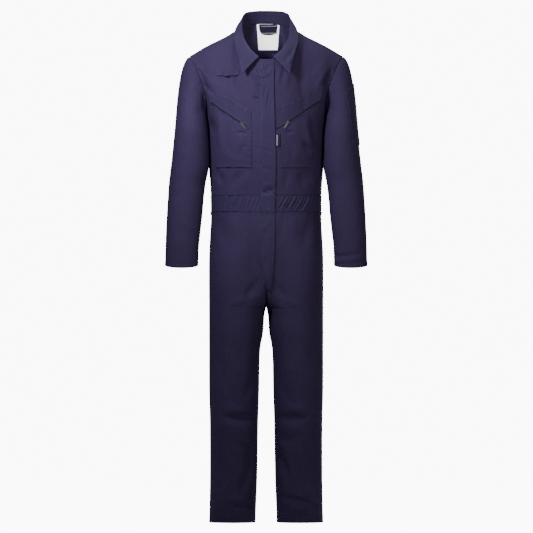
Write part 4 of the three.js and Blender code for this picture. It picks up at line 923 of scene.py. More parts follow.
@dataclass
class Cloth:
    """A cloth piece over a grid of points, with what it stands for in the frame."""

    name: str
    points: np.ndarray
    material: bpy.types.Material
    nodes: tuple[str, ...] = ()
    slot: str = "navy_twill"
    thickness: float = 1.1
    closed: bool = False
    flip: bool = False
    worn: np.ndarray | None = None
    held: str = "stretched"
    rests_on: tuple[str, ...] = ()

    def build(self) -> bpy.types.Object:
        """Returns:
            The finished object.
        """
        columns, rows = self.points.shape[:2]
        flat_u, flat_v = lengths(self.points, 0), lengths(self.points, 1)
        bm = bmesh.new()
        bmesh.ops.create_grid(bm, x_segments=columns - 1, y_segments=rows - 1, size=0.5, calc_uvs=False)
        bm.loops.layers.uv.new("UVMap")
        shown = f"{self.name}_cloth"
        mesh = bpy.data.meshes.new(shown)
        bm.to_mesh(mesh)
        bm.free()
        places = np.empty(len(mesh.vertices) * 3)
        mesh.vertices.foreach_get("co", places)
        # The operator's grid gives the faces, and each of its vertices is moved to its place on the cloth
        places = places.reshape(-1, 3)
        i = np.rint((places[:, 0] + 0.5) * (columns - 1)).astype(int)
        j = np.rint((places[:, 1] + 0.5) * (rows - 1)).astype(int)
        mesh.vertices.foreach_set("co", (self.points[i, j] * MM).ravel())
        corner = np.empty(len(mesh.loops), dtype=np.int32)
        mesh.loops.foreach_get("vertex_index", corner)
        plan = np.stack([flat_u[i, j], flat_v[i, j]], -1) * MM
        mesh.uv_layers["UVMap"].data.foreach_set("uv", plan[corner].ravel())
        # How far each place is painted paler: wear on its edges and a painted highlight there
        worn = mesh.attributes.new("worn", "FLOAT", "POINT")
        if self.worn is not None:
            worn.data.foreach_set("value", np.clip(self.worn, 0, 1)[i, j].astype(np.float32))
        mesh.polygons.foreach_set("use_smooth", np.ones(len(mesh.polygons), dtype=bool))
        if self.closed or self.flip:
            bm = bmesh.new()
            bm.from_mesh(mesh)
            if self.closed:
                bmesh.ops.remove_doubles(bm, verts=bm.verts, dist=1e-5)
            if self.flip:
                bmesh.ops.reverse_faces(bm, faces=bm.faces)
            bm.to_mesh(mesh)
            bm.free()
        mesh.update()
        piece = put_in_place(mesh, self.material)
        solid = piece.modifiers.new("thickness", "SOLIDIFY")
        solid.thickness = self.thickness * MM
        solid.offset = -1
        if self.nodes:
            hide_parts(*self.nodes)
        self.declare(flat_u, flat_v)
        return piece

    def declare(self, flat_u: np.ndarray, flat_v: np.ndarray) -> None:
        """States the flat cut that shows: its greatest width and length, and its area.

        Args:
            flat_u: the distance across the cloth at each of its places.
            flat_v: the distance along it.
        """
        wide, long = float(flat_u[-1].max()) * MM, float(flat_v[:, -1].max()) * MM
        a, b = np.diff(self.points, axis=0)[:, :-1], np.diff(self.points, axis=1)[:-1]
        area = float(np.linalg.norm(np.cross(a, b), axis=-1).sum()) * MM * MM
        area = min(max(area, LOWEST_FILL * wide * long), wide * long)
        LOG.info("%s: flat %.0f x %.0f mm, %.4f m2", self.name, wide / MM, long / MM, area)


class Surface:
    """The outer face of finished pieces, on which smaller ones are laid."""

    def __init__(self, pieces: list[bpy.types.Object]) -> None:
        """Gathers the pieces' faces.

        Args:
            pieces: the pieces.
        """
        vertices: list[Vector] = []
        faces: list[list[int]] = []
        for piece in pieces:
            start = len(vertices)
            vertices.extend(vertex.co.copy() for vertex in piece.data.vertices)
            faces.extend([start + index for index in face.vertices] for face in piece.data.polygons)
        self.tree = BVHTree.FromPolygons(vertices, faces)

    def lay(self, x: np.ndarray, z: np.ndarray) -> np.ndarray:
        """Finds the cloth behind places seen straight from the front.

        Args:
            x: places across.
            z: heights.

        Returns:
            The points in mm, or the cloth's nearest depth where there is none behind.
        """
        found = np.empty(x.shape + (3,))
        ahead = Vector((0, 1, 0))
        for index in np.ndindex(x.shape):
            origin = Vector((x[index] * MM, -1, z[index] * MM))
            hit = self.tree.ray_cast(origin, ahead)[0]
            if hit is None:
                hit = self.tree.find_nearest(Vector((origin.x, -0.1, origin.z)))[0]
            found[index] = (x[index], hit.y / MM, z[index])
        return found

    def push_off(self, points: np.ndarray, rest: float) -> np.ndarray:
        """Keeps points off the surface.

        Args:
            points: the points in mm.
            rest: how far off the surface each has to lie.

        Returns:
            The points, moved out where they were nearer.
        """
        moved = points.copy()
        for index in np.ndindex(points.shape[:-1]):
            place = Vector(points[index] * MM)
            hit, normal, _, _ = self.tree.find_nearest(place)
            height = (place - hit).dot(normal) / MM
            if height < rest:
                moved[index] = points[index] + np.array(normal) * (rest - height)
        return moved


def sewn_edge(distance: np.ndarray, along: np.ndarray, rows: tuple[float, ...] = (2.0,),
              pucker: float = 0.3, seed: float = 0.0, rise: float = 0.4) -> np.ndarray:
    """Shapes a turned and stitched edge.

    Args:
        distance: mm from the edge.
        along: mm along the edge.
        rows: how far from the edge each row of stitches runs.
        pucker: height of the small ripples that the stitches draw up.
        seed: shifts the ripples.
        rise: how far the turned layers stand out.

    Returns:
        The relief in mm.
    """
    relief = rise * (1 - smoothstep(distance, rows[-1] + 1.0, rows[-1] + 3.0))
    for row in rows:
        relief = relief - 0.35 * swell(distance - row, 0.9)
        relief = relief + pucker * wander(along, 8.0, seed + row) * swell(distance - row, 3.6)
    return relief


def seam_dip(distance: np.ndarray, along: np.ndarray, depth: float, pitch: float, seed: float,
             reach: float) -> np.ndarray:
    """Shapes a seam that sinks between its panels, with the ripples that its gathers send into the cloth.

    Args:
        distance: mm from the seam.
        along: mm along the seam.
        depth: height of the ripples.
        pitch: their usual length.
        seed: shifts them.
        reach: how far they run into the cloth.

    Returns:
        The relief in mm.
    """
    return depth * wander(along, pitch, seed) * np.exp(-distance / reach) - 0.5 * swell(distance, 1.5)


def worn_edge(distance: np.ndarray, reach: float = 1.4, strength: float = 0.5) -> np.ndarray:
    """Returns how much the cloth is painted paler near an edge: lint of wear together with a painted
    highlight on the folded edge.
    """
    return 0.4 * strength * swell(distance, reach)


@dataclass
class Sewing:
    """Rows of stitches, gathered while the pieces are made and built as one piece a region."""

    pitch: float = 3.1
    long: float = 2.2
    wide: float = 0.62
    tall: float = 0.5
    blocks: dict[str, list[tuple[np.ndarray, ...]]] = field(default_factory=dict)

    def add(self, region: str, points: np.ndarray, normals: np.ndarray) -> None:
        """Keeps a row of stitches along points on the cloth.

        Args:
            region: which stitching piece it belongs to.
            points: the points of the row.
            normals: the cloth's outward directions there.
        """
        kept = self.blocks.setdefault(region, [])
        sizes, normals = lengths(points), unit(normals)
        for middle in np.arange(self.pitch / 2, sizes[-1], self.pitch):
            begin, end = (along_path(middle + way * self.long / 2, sizes, points) for way in (-1, 1))
            up, ahead = along_path(middle, sizes, normals), unit(end - begin)
            up = unit(up - ahead * float(up @ ahead))
            side = np.cross(up, ahead)
            centre = (begin + end) / 2 + up * self.tall * 0.25
            kept.append((centre, ahead * self.long, side * self.wide, up * self.tall))

    def add_grid_row(self, region: str, points: np.ndarray, edge: str, distance: float,
                     flip: bool = False, span: tuple[float, float] = (0.0, 1.0)) -> None:
        """Keeps a row that runs at one distance inside an edge of a grid of points.

        Args:
            region: which stitching piece it belongs to.
            points: the grid.
            edge: "u0", "u1", "v0" or "v1", the grid's edge.
            distance: mm from the edge.
            flip: whether the grid's normals point inwards.
            span: the shares of the edge between which the row runs.
        """
        grid, normals = points, grid_normals(points, flip)
        if edge[0] == "v":
            grid, normals = grid.transpose(1, 0, 2), normals.transpose(1, 0, 2)
        if edge[1] == "1":
            grid, normals = grid[::-1], normals[::-1]
        away = lengths(grid)
        count = grid.shape[1]
        line, up = [], []
        for index in range(int(span[0] * (count - 1)), int(span[1] * (count - 1)) + 1):
            here = min(distance, away[-1, index])
            line.append(along_path(here, away[:, index], grid[:, index]))
            near = int(np.argmin(np.abs(away[:, index] - here)))
            up.append(normals[near, index])
        self.add(region, np.array(line), np.array(up))

    def build(self, material: bpy.types.Material) -> None:
        """Makes one piece of stitches for each region."""
        for region, blocks in self.blocks.items():
            put_blocks(f"stitching_{region}", blocks, material)


# The suit's parts


@dataclass
class Shop:
    """What every part needs: finishes, sewing and the pieces made so far."""

    finishes: Finishes = field(default_factory=Finishes)
    sewing: Sewing = field(default_factory=Sewing)
    pieces: dict[str, bpy.types.Object] = field(default_factory=dict)

    def make(self, cloth: Cloth) -> bpy.types.Object:
        """Builds a cloth piece and keeps it by name."""
        self.pieces[cloth.name] = cloth.build()
        return self.pieces[cloth.name]

    def named(self, *names: str) -> list[bpy.types.Object]:
        """Returns the pieces with these names."""
        return [self.pieces[name] for name in names]


@dataclass
class Panels:
    """The upper fronts and back, and the four trouser panels."""

    shop: Shop
    lap_rows: tuple[float, ...] = (2.0, 7.0)
    side_depth: float = 5.0
    folds_gone: float = 4.0
    folds_whole: float = 55.0
    arm_low: float = -235.0
    arm_high: float = -190.0
    under_chest: float = 205.7
    over_chest: float = 330.0
    half_wide: float = 275.0
    leg_wide: float = 250.0
    hem_row: float = 19.0
    allowance_wide: float = 3.0
    allowance_deep: float = 1.9

    def build(self) -> None:
        """Makes the seven panels."""
        for side in Side:
            self.front(side)
        self.back()
        for facing in Facing:
            for side in Side:
                self.leg(facing, side)

    def fade(self, points: np.ndarray) -> np.ndarray:
        """Returns how much of a fold is left near the side seams, below the armholes."""
        beside = smoothstep(np.abs(points[..., 1] - self.side_depth), self.folds_gone, self.folds_whole)
        return np.maximum(beside, smoothstep(points[..., 2], self.arm_low, self.arm_high))

    def torso_rows(self) -> np.ndarray:
        """Returns the heights of an upper panel's rows: mm below the chest line, then shares above it."""
        low = self.under_chest * (marks(self.under_chest, reach=8, coarse=3.6, end=False) - 1)
        high = marks(self.over_chest, reach=9, coarse=3.8, start=False)
        return np.concatenate([low[:-1], high])

    def dress(self, points: np.ndarray, pressed: tuple[Fold, ...], facing: Facing,
              flip: bool) -> np.ndarray:
        """Gives a panel its folds and a small unevenness.

        Args:
            points: the panel's points.
            pressed: its folds.
            facing: the front or the rear half.
            flip: whether the grid's normals point inwards.

        Returns:
            The moved points.
        """
        x, z = points[..., 0], points[..., 2]
        relief = folds_at(pressed, x, z) * self.fade(points)
        uneven = 0.35 * wander(x * 0.8 + z * 0.5, 64, 3) * wander(z - x * 0.3, 90, 7 + facing.value)
        fade = smoothstep(Edges.of(points).nearest(), 0, 12)
        return points + grid_normals(points, flip) * ((relief + uneven) * fade)[..., None]

    def front(self, side: Side) -> None:
        """Makes one upper front, from the waistband to the neckline and shoulder seam.

        Args:
            side: the wearer's side.
        """
        u = marks(self.half_wide, reach=10, coarse=3.6, start=False)
        points = Form.torso(Facing.FRONT, u[:, None], self.torso_rows()[None, :])
        flip = side is Side.RIGHT
        points = mirrored(points) if flip else points
        points = self.dress(points, CHEST_FOLDS + ARMHOLE_FOLDS, Facing.FRONT, flip)
        points, worn = self.sew(points, flip)
        name = f"front_{side.name.lower()}"
        self.shop.make(Cloth(name, points, self.shop.finishes.twill, (name,), flip=flip, worn=worn))

    def sew(self, points: np.ndarray, flip: bool) -> tuple[np.ndarray, np.ndarray]:
        """Adds the relief of the armhole, shoulder and waist seams, and their stitches.

        Args:
            points: the upper front's points.
            flip: whether the grid's normals point inwards.

        Returns:
            The moved points, and how much each is painted paler, for wear and as a painted highlight.
        """
        edges = Edges.of(points)
        relief = sewn_edge(edges.end, edges.low, self.lap_rows, 0.22, 1.0)
        relief = relief + sewn_edge(edges.high, edges.start, self.lap_rows, 0.22, 2.0)
        relief = relief + seam_dip(edges.low, edges.start, 0.35, 17, 5, 16)
        relief = relief * smoothstep(np.minimum(edges.end, edges.high), 0, 1.5)
        # Seam edges painted paler: wear and a painted highlight
        worn = np.maximum(worn_edge(edges.end), worn_edge(edges.high))
        points = points + grid_normals(points, flip) * relief[..., None]
        for distance in self.lap_rows:
            self.shop.sewing.add_grid_row("upper", points, "u1", distance, flip)
            self.shop.sewing.add_grid_row("upper", points, "v1", distance, flip, (NECK_POINT, 1.0))
        return points, worn

    def back(self) -> None:
        """Makes the upper back in one piece, plain."""
        half = marks(self.half_wide, reach=10, coarse=4.0, start=False)
        signed = np.concatenate([half[::-1], -half[1:]])
        points = Form.torso(Facing.REAR, np.abs(signed)[:, None], self.torso_rows()[None, :])
        points[..., 0] *= np.sign(signed)[:, None]
        points = self.dress(points, BACK_FOLDS, Facing.REAR, False)
        edges = Edges.of(points)
        from_side = np.minimum(edges.start, edges.end)
        relief = sewn_edge(edges.high, edges.start, (2.0,), 0.2, 4.0, 0.2)
        relief = relief + seam_dip(edges.low, edges.start, 0.5, 15, 8, 22)
        relief = relief * smoothstep(np.minimum(from_side, edges.high), 0, 1.5)
        points = points + grid_normals(points) * relief[..., None]
        # Side and shoulder edges painted paler: wear and a painted highlight
        worn = np.maximum(worn_edge(from_side), worn_edge(edges.high))
        self.shop.make(Cloth("back", points, self.shop.finishes.twill, ("back",), worn=worn))

    def allowance(self, edge: np.ndarray, inner: np.ndarray, normals: np.ndarray,
                  share: np.ndarray) -> np.ndarray:
        """Makes a row of seam allowance that lies behind the neighbouring panel.

        Args:
            edge: the panel's sewn edge.
            inner: its row beside the edge.
            normals: the outward normals along the edge.
            share: how much of the allowance there is at each point.

        Returns:
            The row.
        """
        across = unit(edge - inner) * self.allowance_wide - normals * self.allowance_deep
        return (edge + across * share[:, None])[None]

    @staticmethod
    def leg_rows(facing: Facing) -> np.ndarray:
        """Works out the heights of a trouser panel's rows.

        Args:
            facing: the front or the rear half.

        Returns:
            The heights, from the hem up to the waistband.
        """
        fork_top = FORK_TOP[facing]
        seat = marks(BAND_BOTTOM - fork_top, reach=8, coarse=4.4, end=False)
        seat = BAND_BOTTOM - SEAM_GAP - (BAND_BOTTOM - fork_top) * seat
        turn = np.linspace(0, math.pi / 2, 26)[1:]
        fork = fork_top + (CROTCH - fork_top) * np.sin(turn)
        shin = CROTCH + (HEM - CROTCH) * marks(CROTCH - HEM, reach=26, fine=1.6, coarse=4.4, start=False)
        return np.concatenate([seat, fork, shin[1:]])[::-1]

    def leg(self, facing: Facing, side: Side) -> None:
        """Makes one trouser panel, from the waistband to its hem.

        Args:
            facing: the front or the rear half.
            side: the wearer's side.
        """
        u = marks(self.leg_wide, reach=9, coarse=4.2)
        z = self.leg_rows(facing)
        flip = side.value * facing.value > 0
        points = Form.trousers(facing, u[:, None], z[None, :])
        # Above the crotch the inner edge is the centre seam, so it is drawn to the middle
        to_middle = np.exp(-lengths(points) / 10) * smoothstep(z, CROTCH - 3, CROTCH + 3)
        points[..., 0] -= points[:1, :, 0] * to_middle
        points = mirrored(points) if side is Side.RIGHT else points
        pressed = LEG_FOLDS if facing is Facing.FRONT else SEAT_FOLDS
        points = self.dress(points, pressed, facing, flip)
        normals, edges = grid_normals(points, flip), Edges.of(points)
        relief = sewn_edge(edges.end, edges.low, (2.0,), 0.12, side.value, 0.15)
        relief = relief + sewn_edge(edges.start, edges.low, (2.0,), 0.12, 3 + side.value, 0.15)
        relief = relief + sewn_edge(edges.low, edges.start, (self.hem_row,), 0.22, 6 + side.value, 0.45)
        gather = np.exp(-edges.high / 30) * smoothstep(edges.high, 0, 4)
        relief = relief + 0.9 * wander(edges.start, 16, 2 + side.value + facing.value) * gather
        beside = np.minimum(edges.end, edges.start)
        relief = relief * smoothstep(beside, 0, 1.2)
        points = points + normals * relief[..., None]
        # Seams and, more strongly, the hem edge painted paler: wear and a painted highlight
        worn = np.maximum(worn_edge(beside, strength=0.25), worn_edge(edges.low, strength=0.6))
        if facing is Facing.REAR:
            inner = np.where((z < CROTCH) | (side is Side.LEFT), 1.0, 0.1)
            points = np.concatenate([
                self.allowance(points[0], points[1], normals[0], inner), points,
                self.allowance(points[-1], points[-2], normals[-1], np.ones_like(z)),
            ])
            worn = np.concatenate([worn[:1], worn, worn[-1:]])
        name = f"leg_{'front' if facing is Facing.FRONT else 'back'}_{side.name.lower()}"
        self.shop.make(Cloth(name, points, self.shop.finishes.twill, (name,), flip=flip, worn=worn,
                             held="hung", rests_on=("waistband_back",)))
        self.shop.sewing.add_grid_row("legs", points, "v0", self.hem_row, flip)


@dataclass
class Sleeves:
    """The set-in sleeves and the patch pocket on the left one."""

    shop: Shop
    columns: int = 121
    hem: float = 8.0
    tuck: float = 4.0
    inside_body: tuple[float, ...] = (150.0, -5.0, -150.0)
    pocket_front: float = 0.135
    pocket_rear: float = -0.1
    pocket_top: float = 0.44
    pocket_bottom: float = 1.07
    pen_row: float = 12.0

    def build(self) -> None:
        """Makes both sleeves, and the pocket."""
        for side in Side:
            points = self.dressed(side, np.linspace(0, 1, self.columns), self.rows())
            flip = side is Side.RIGHT
            edges = Edges.of(points)
            # Armhole and cuff edges painted paler: wear and a painted highlight on the cuff's fold
            worn = np.maximum(worn_edge(edges.low, strength=0.25), worn_edge(edges.high, 1.8, 0.7))
            name = side.name.lower()
            halves = (f"sleeve_front_{name}", f"sleeve_back_{name}")
            self.shop.make(Cloth(f"sleeve_{name}", points, self.shop.finishes.twill, halves, closed=True,
                                 flip=flip, worn=worn, held="hung", rests_on=("back",)))
            self.shop.sewing.add_grid_row("sleeves", points, "v1", self.hem, flip)
        self.pen_pocket()

    @staticmethod
    def rows() -> np.ndarray:
        """Returns the heights of a sleeve's rows, in shares of its head and then of its arm."""
        return np.concatenate([marks(240, reach=8, coarse=4.2, end=False)[:-1],
                               1 + marks(381, reach=12, fine=1.2, coarse=4.2, start=False)])

    def dressed(self, side: Side, s: np.ndarray, v: np.ndarray) -> np.ndarray:
        """Shapes a sleeve, or a patch of the left one, with its folds, seam and hem.

        Args:
            side: the wearer's side.
            s: the columns, as shares round the sleeve.
            v: the rows, as in Form.sleeve.

        Returns:
            The points.
        """
        base = Form.sleeve(s[:, None], v[None, :])
        wrap = (s[:, None] + 0.5) % 1.0 - 0.5
        around = wrap * np.interp(v, [0, 1, 2], [430, 330, 240])[None, :]
        height = np.broadcast_to(base[..., 2].mean(0)[None, :], around.shape)
        relief = folds_at(SLEEVE_FOLDS[side], around, height)
        uneven = wander(height + around, 70, 5 + side.value)
        relief = relief + 0.3 * uneven * wander(around - height * 0.4, 80, 9)
        edges = Edges.of(base)
        easing = np.exp(-edges.low / 17) * smoothstep(edges.low, 0, 3)
        head = -1.6 * swell(edges.low, 3.0) + 1.7 * wander(edges.start, 19, 3 + side.value) * easing
        hem = sewn_edge(edges.high, edges.start, (self.hem,), 0.18, side.value, 0.5)
        inner = 1 - smoothstep(np.abs(wrap), 0.32, 0.42)
        relief = (relief * smoothstep(edges.low, 0, 14) + head) * inner + hem
        points = base + grid_normals(base) * relief[..., None]
        if v[0] == 0:
            # The first row lies inside the armhole as the seam allowance, and the tube closes on itself
            seam = Form.armhole(s % 1.0)
            points[:, 0] = seam + unit(np.array(self.inside_body) - seam) * self.tuck
            points[-1] = points[0]
        return mirrored(points) if side is Side.RIGHT else points

    def pen_pocket(self) -> None:
        """Makes the patch on the left upper sleeve, with a second row of stitches for its division."""
        s = self.pocket_front + (self.pocket_rear - self.pocket_front) * marks(115, reach=9, coarse=3.2)
        v = self.pocket_bottom + (self.pocket_top - self.pocket_bottom) * marks(185, reach=9, coarse=3.6)
        points = self.dressed(Side.LEFT, s, v)
        edges = Edges.of(points)
        inside = edges.nearest()
        relief = 2.0 + sewn_edge(inside, edges.start + edges.low, (2.0,), 0.3, 2.0, 0.3)
        relief = relief - 0.7 * swell(edges.start - self.pen_row, 1.3)
        points = points + grid_normals(points) * relief[..., None]
        # Its edges are painted paler: wear and a painted highlight
        self.shop.make(Cloth("pen_pocket", points, self.shop.finishes.doubled, ("pen_pocket",),
                             worn=worn_edge(inside, 1.2, 0.5)))
        for edge in ("u0", "u1", "v0"):
            self.shop.sewing.add_grid_row("sleeves", points, edge, 2.0)
        self.shop.sewing.add_grid_row("sleeves", points, "u0", self.pen_row)


@dataclass(frozen=True)
class Gathers:
    """The gathers of one piece of the band, in mm along its half from the centre.

    The sizes are where they start and end, their usual pitch, their depth and how far they lean.
    """

    begin: float
    end: float
    pitch: float
    depth: float
    lean: float


GATHERS = {
    "front_right": Gathers(22.0, 142.0, 12.0, 3.8, -17.0),
    "front_left": Gathers(30.0, 140.0, 12.0, 5.2, 27.0),
    "back": Gathers(-178.0, 178.0, 12.5, 3.6, 12.0),
}


@dataclass
class Waistband:
    """The band, drawn into slanting gathers by the elastic inside it."""

    shop: Shop
    proud: float = 1.0
    columns: int = 190
    tab_end: float = 146.0

    def build(self) -> None:
        """Makes the three pieces of the band."""
        self.piece("front_right", Facing.FRONT, -1.0, 0.0)
        self.piece("front_left", Facing.FRONT, 0.0, 1.0)
        self.piece("back", Facing.REAR, 1.0, -1.0)

    def piece(self, name: str, facing: Facing, start: float, end: float) -> None:
        """Makes one piece of the band.

        Args:
            name: its name in the table of gathers.
            facing: the front or the rear half.
            start: its first end, as a share of the way from the centre to the side seam.
            end: its other end.
        """
        gathers = GATHERS[name]
        place = np.linspace(start, end, int(abs(end - start) * self.columns) + 1)
        share = marks(46.7, fine=0.8, reach=5, coarse=1.6)
        z = BAND_BOTTOM + HALF_GAP + (BAND_TOP - BAND_BOTTOM - SEAM_GAP) * share
        points = Form.body(facing, np.abs(place)[:, None], z[None, :])
        points[..., 0] *= np.where(place < 0, -1, 1)[:, None]
        edges = Edges.of(points)
        flat = edges.start
        if facing is Facing.REAR:
            where = flat - flat[-1:] * 0.5
        else:
            where = edges.end if start < 0 else flat
        leaned = where - gathers.lean * (share[None, :] - 0.5)
        inside = smoothstep(leaned, gathers.begin - 6, gathers.begin + 8)
        inside = inside * (1 - smoothstep(leaned, gathers.end - 8, gathers.end + 6))
        sharp = wander(leaned + 3 * wander(leaned, 40, 2), gathers.pitch, 4 + gathers.begin * 0.1)
        wave = gathers.depth * (0.25 + 0.75 * np.sign(sharp) * np.abs(sharp) ** 0.8)
        uneven = 0.8 + 0.25 * wander(leaned, 37, 6)
        middle = np.sin(math.pi * np.clip(share, 0.02, 0.98))[None, :] ** 0.6
        from_seams = np.minimum(edges.low, edges.high)
        relief = self.proud + inside * wave * uneven * middle * 0.7
        relief = relief + sewn_edge(from_seams, flat, (2.0,), 0.25, 3.0, 0.25) * (1 - 0.5 * inside)
        if facing is Facing.FRONT:
            relief = relief - 0.8 * swell(where - self.tab_end, 1.2)
        relief = relief * smoothstep(np.minimum(flat, edges.end), 0, 6)
        points = points + grid_normals(points) * relief[..., None]
        # Seam edges painted paler for wear and as a painted highlight, and the outward crests of the gathers
        # painted paler as a painted highlight
        worn = np.clip(worn_edge(from_seams, 1.3, 0.45) + 0.12 * inside * np.clip(sharp, 0, 1), 0, 1)
        node = f"waistband_{name}"
        self.shop.make(Cloth(node, points, self.shop.finishes.doubled, (node,), worn=worn, held="gathered"))
        for edge in ("v0", "v1"):
            self.shop.sewing.add_grid_row("waist", points, edge, 2.0)


@dataclass
class Collar:
    """A stand that rolls over into the fall, edge stitched."""

    shop: Shop
    roll: float = 2.3
    bow: float = 2.5
    middle: float = -8.0
    rest: float = 2.6
    tip_lift: float = 5.5
    seam_up: float = 0.9
    seam_in: float = 1.6
    edge_row: float = 2.2
    stations: int = 150

    def build(self, shoulders: Surface) -> None:
        """Makes the collar on the shoulders.

        Args:
            shoulders: the fronts and back that the fall lies on.
        """
        s = np.linspace(1, -1, self.stations + 1)
        size = np.abs(s)
        row = COLLAR_STATIONS.at(size)
        sign = np.where(s < 0, -1, 1)
        spot = {name: np.stack([sign * row[f"{name}X"], row[f"{name}Y"], row[f"{name}Z"]], -1)
                for name in ("seam", "roll", "edge")}
        tangent = unit(np.gradient(spot["roll"], axis=0)) * -1
        radial = unit(np.stack([spot["roll"][:, 0], spot["roll"][:, 1] - self.middle, 0 * s], -1))
        out = unit(radial - tangent * (radial * tangent).sum(-1, keepdims=True))
        up = unit(np.cross(out, tangent))
        up *= np.where(up[:, 2:] < 0, -1, 1)
        first = spot["seam"] + up * self.seam_up - out * self.seam_in
        centre = spot["roll"] - up * self.roll
        turned = [centre - out * math.cos(t) * self.roll + up * math.sin(t) * self.roll
                  for t in np.linspace(0, math.pi, 9)]
        column = [first * (1 - t) + turned[0] * t for t in np.linspace(0, 1, 8)[:-1]]
        column.extend(turned)
        fall = marks(60, reach=10, coarse=3.5, start=False)[1:]
        wave = 0.9 * wander(s * 160, 70, 2)[:, None]
        for t in fall:
            place = turned[-1] * (1 - t) + spot["edge"] * t
            column.append(place + out * (self.bow * math.sin(math.pi * t) + wave * t * 0.6))
        points = np.stack(column, 1)
        begin = points.shape[1] - len(fall)
        points[:, begin:] = shoulders.push_off(points[:, begin:], self.rest)
        loose = smoothstep(size, 0.7, 0.98)[:, None] * fall[None, :] ** 1.3
        points[:, begin:, 1] -= self.tip_lift * loose
        edges = Edges.of(points)
        on_fall = smoothstep(np.arange(points.shape[1]), begin - 2, begin + 1)[None, :]
        from_ends = np.minimum(edges.start, edges.end)
        inside = np.where(on_fall > 0.5, np.minimum(edges.high, from_ends), edges.high)
        relief = sewn_edge(inside, edges.start + edges.low, (self.edge_row,), 0.28, 5.0, 0.3) * on_fall
        uneven = 0.5 * wander(edges.start, 33, 4) * wander(edges.low, 30, 2)
        relief = relief + uneven * on_fall * smoothstep(inside, 0, 8)
        ahead = smoothstep(-points[..., 1], 20, 60) * smoothstep(inside, 0, 6) * on_fall
        relief = relief + folds_at(COLLAR_FOLDS, points[..., 0], points[..., 2]) * ahead
        relief = relief - 0.3 * swell(edges.low - 8, 1.0) * (1 - on_fall)
        points = points + grid_normals(points, True) * relief[..., None]
        # A painted highlight along the collar's roll, and the fall's edges painted paler for wear and as a
        # painted highlight
        roll_highlight = 0.3 * swell(edges.low - edges.low[:, begin:begin + 1] + 4, 3.5)
        worn = np.clip(worn_edge(inside, 1.6, 0.75) * on_fall + roll_highlight, 0, 1)
        self.shop.make(Cloth("collar", points, self.shop.finishes.doubled, ("collar",), flip=True, worn=worn,
                             thickness=1.4, held="folded", rests_on=("back", "front_left", "front_right")))
        self.shop.sewing.add_grid_row("collar", points, "v1", self.edge_row, True)
        share = begin / points.shape[1]
        for edge in ("u0", "u1"):
            self.shop.sewing.add_grid_row("collar", points, edge, self.edge_row, True, (share, 1.0))


@dataclass(frozen=True)
class Tacks:
    """Where the radio loop is tacked down, and how far it bows out between its tacks."""

    places: tuple[float, ...] = (-142.6, -129.0, -102.0, -81.0)
    bows: tuple[float, ...] = (1.4, 6.5, 3.0)

    def bow(self, x: np.ndarray) -> np.ndarray:
        """Works out how far the loop bows out.

        Args:
            x: places across.

        Returns:
            The bow at each place.
        """
        total = np.zeros(x.shape)
        for begin, end, high in zip(self.places[:-1], self.places[1:], self.bows):
            arch = np.sin(math.pi * (x - begin) / (end - begin)) ** 2
            total = total + high * np.where((x > begin) & (x < end), arch, 0)
        return total

    def pull(self, x: np.ndarray) -> np.ndarray:
        """Returns how strongly the tacks hold each place down."""
        return sum(swell(x - place, 1.3) for place in self.places)


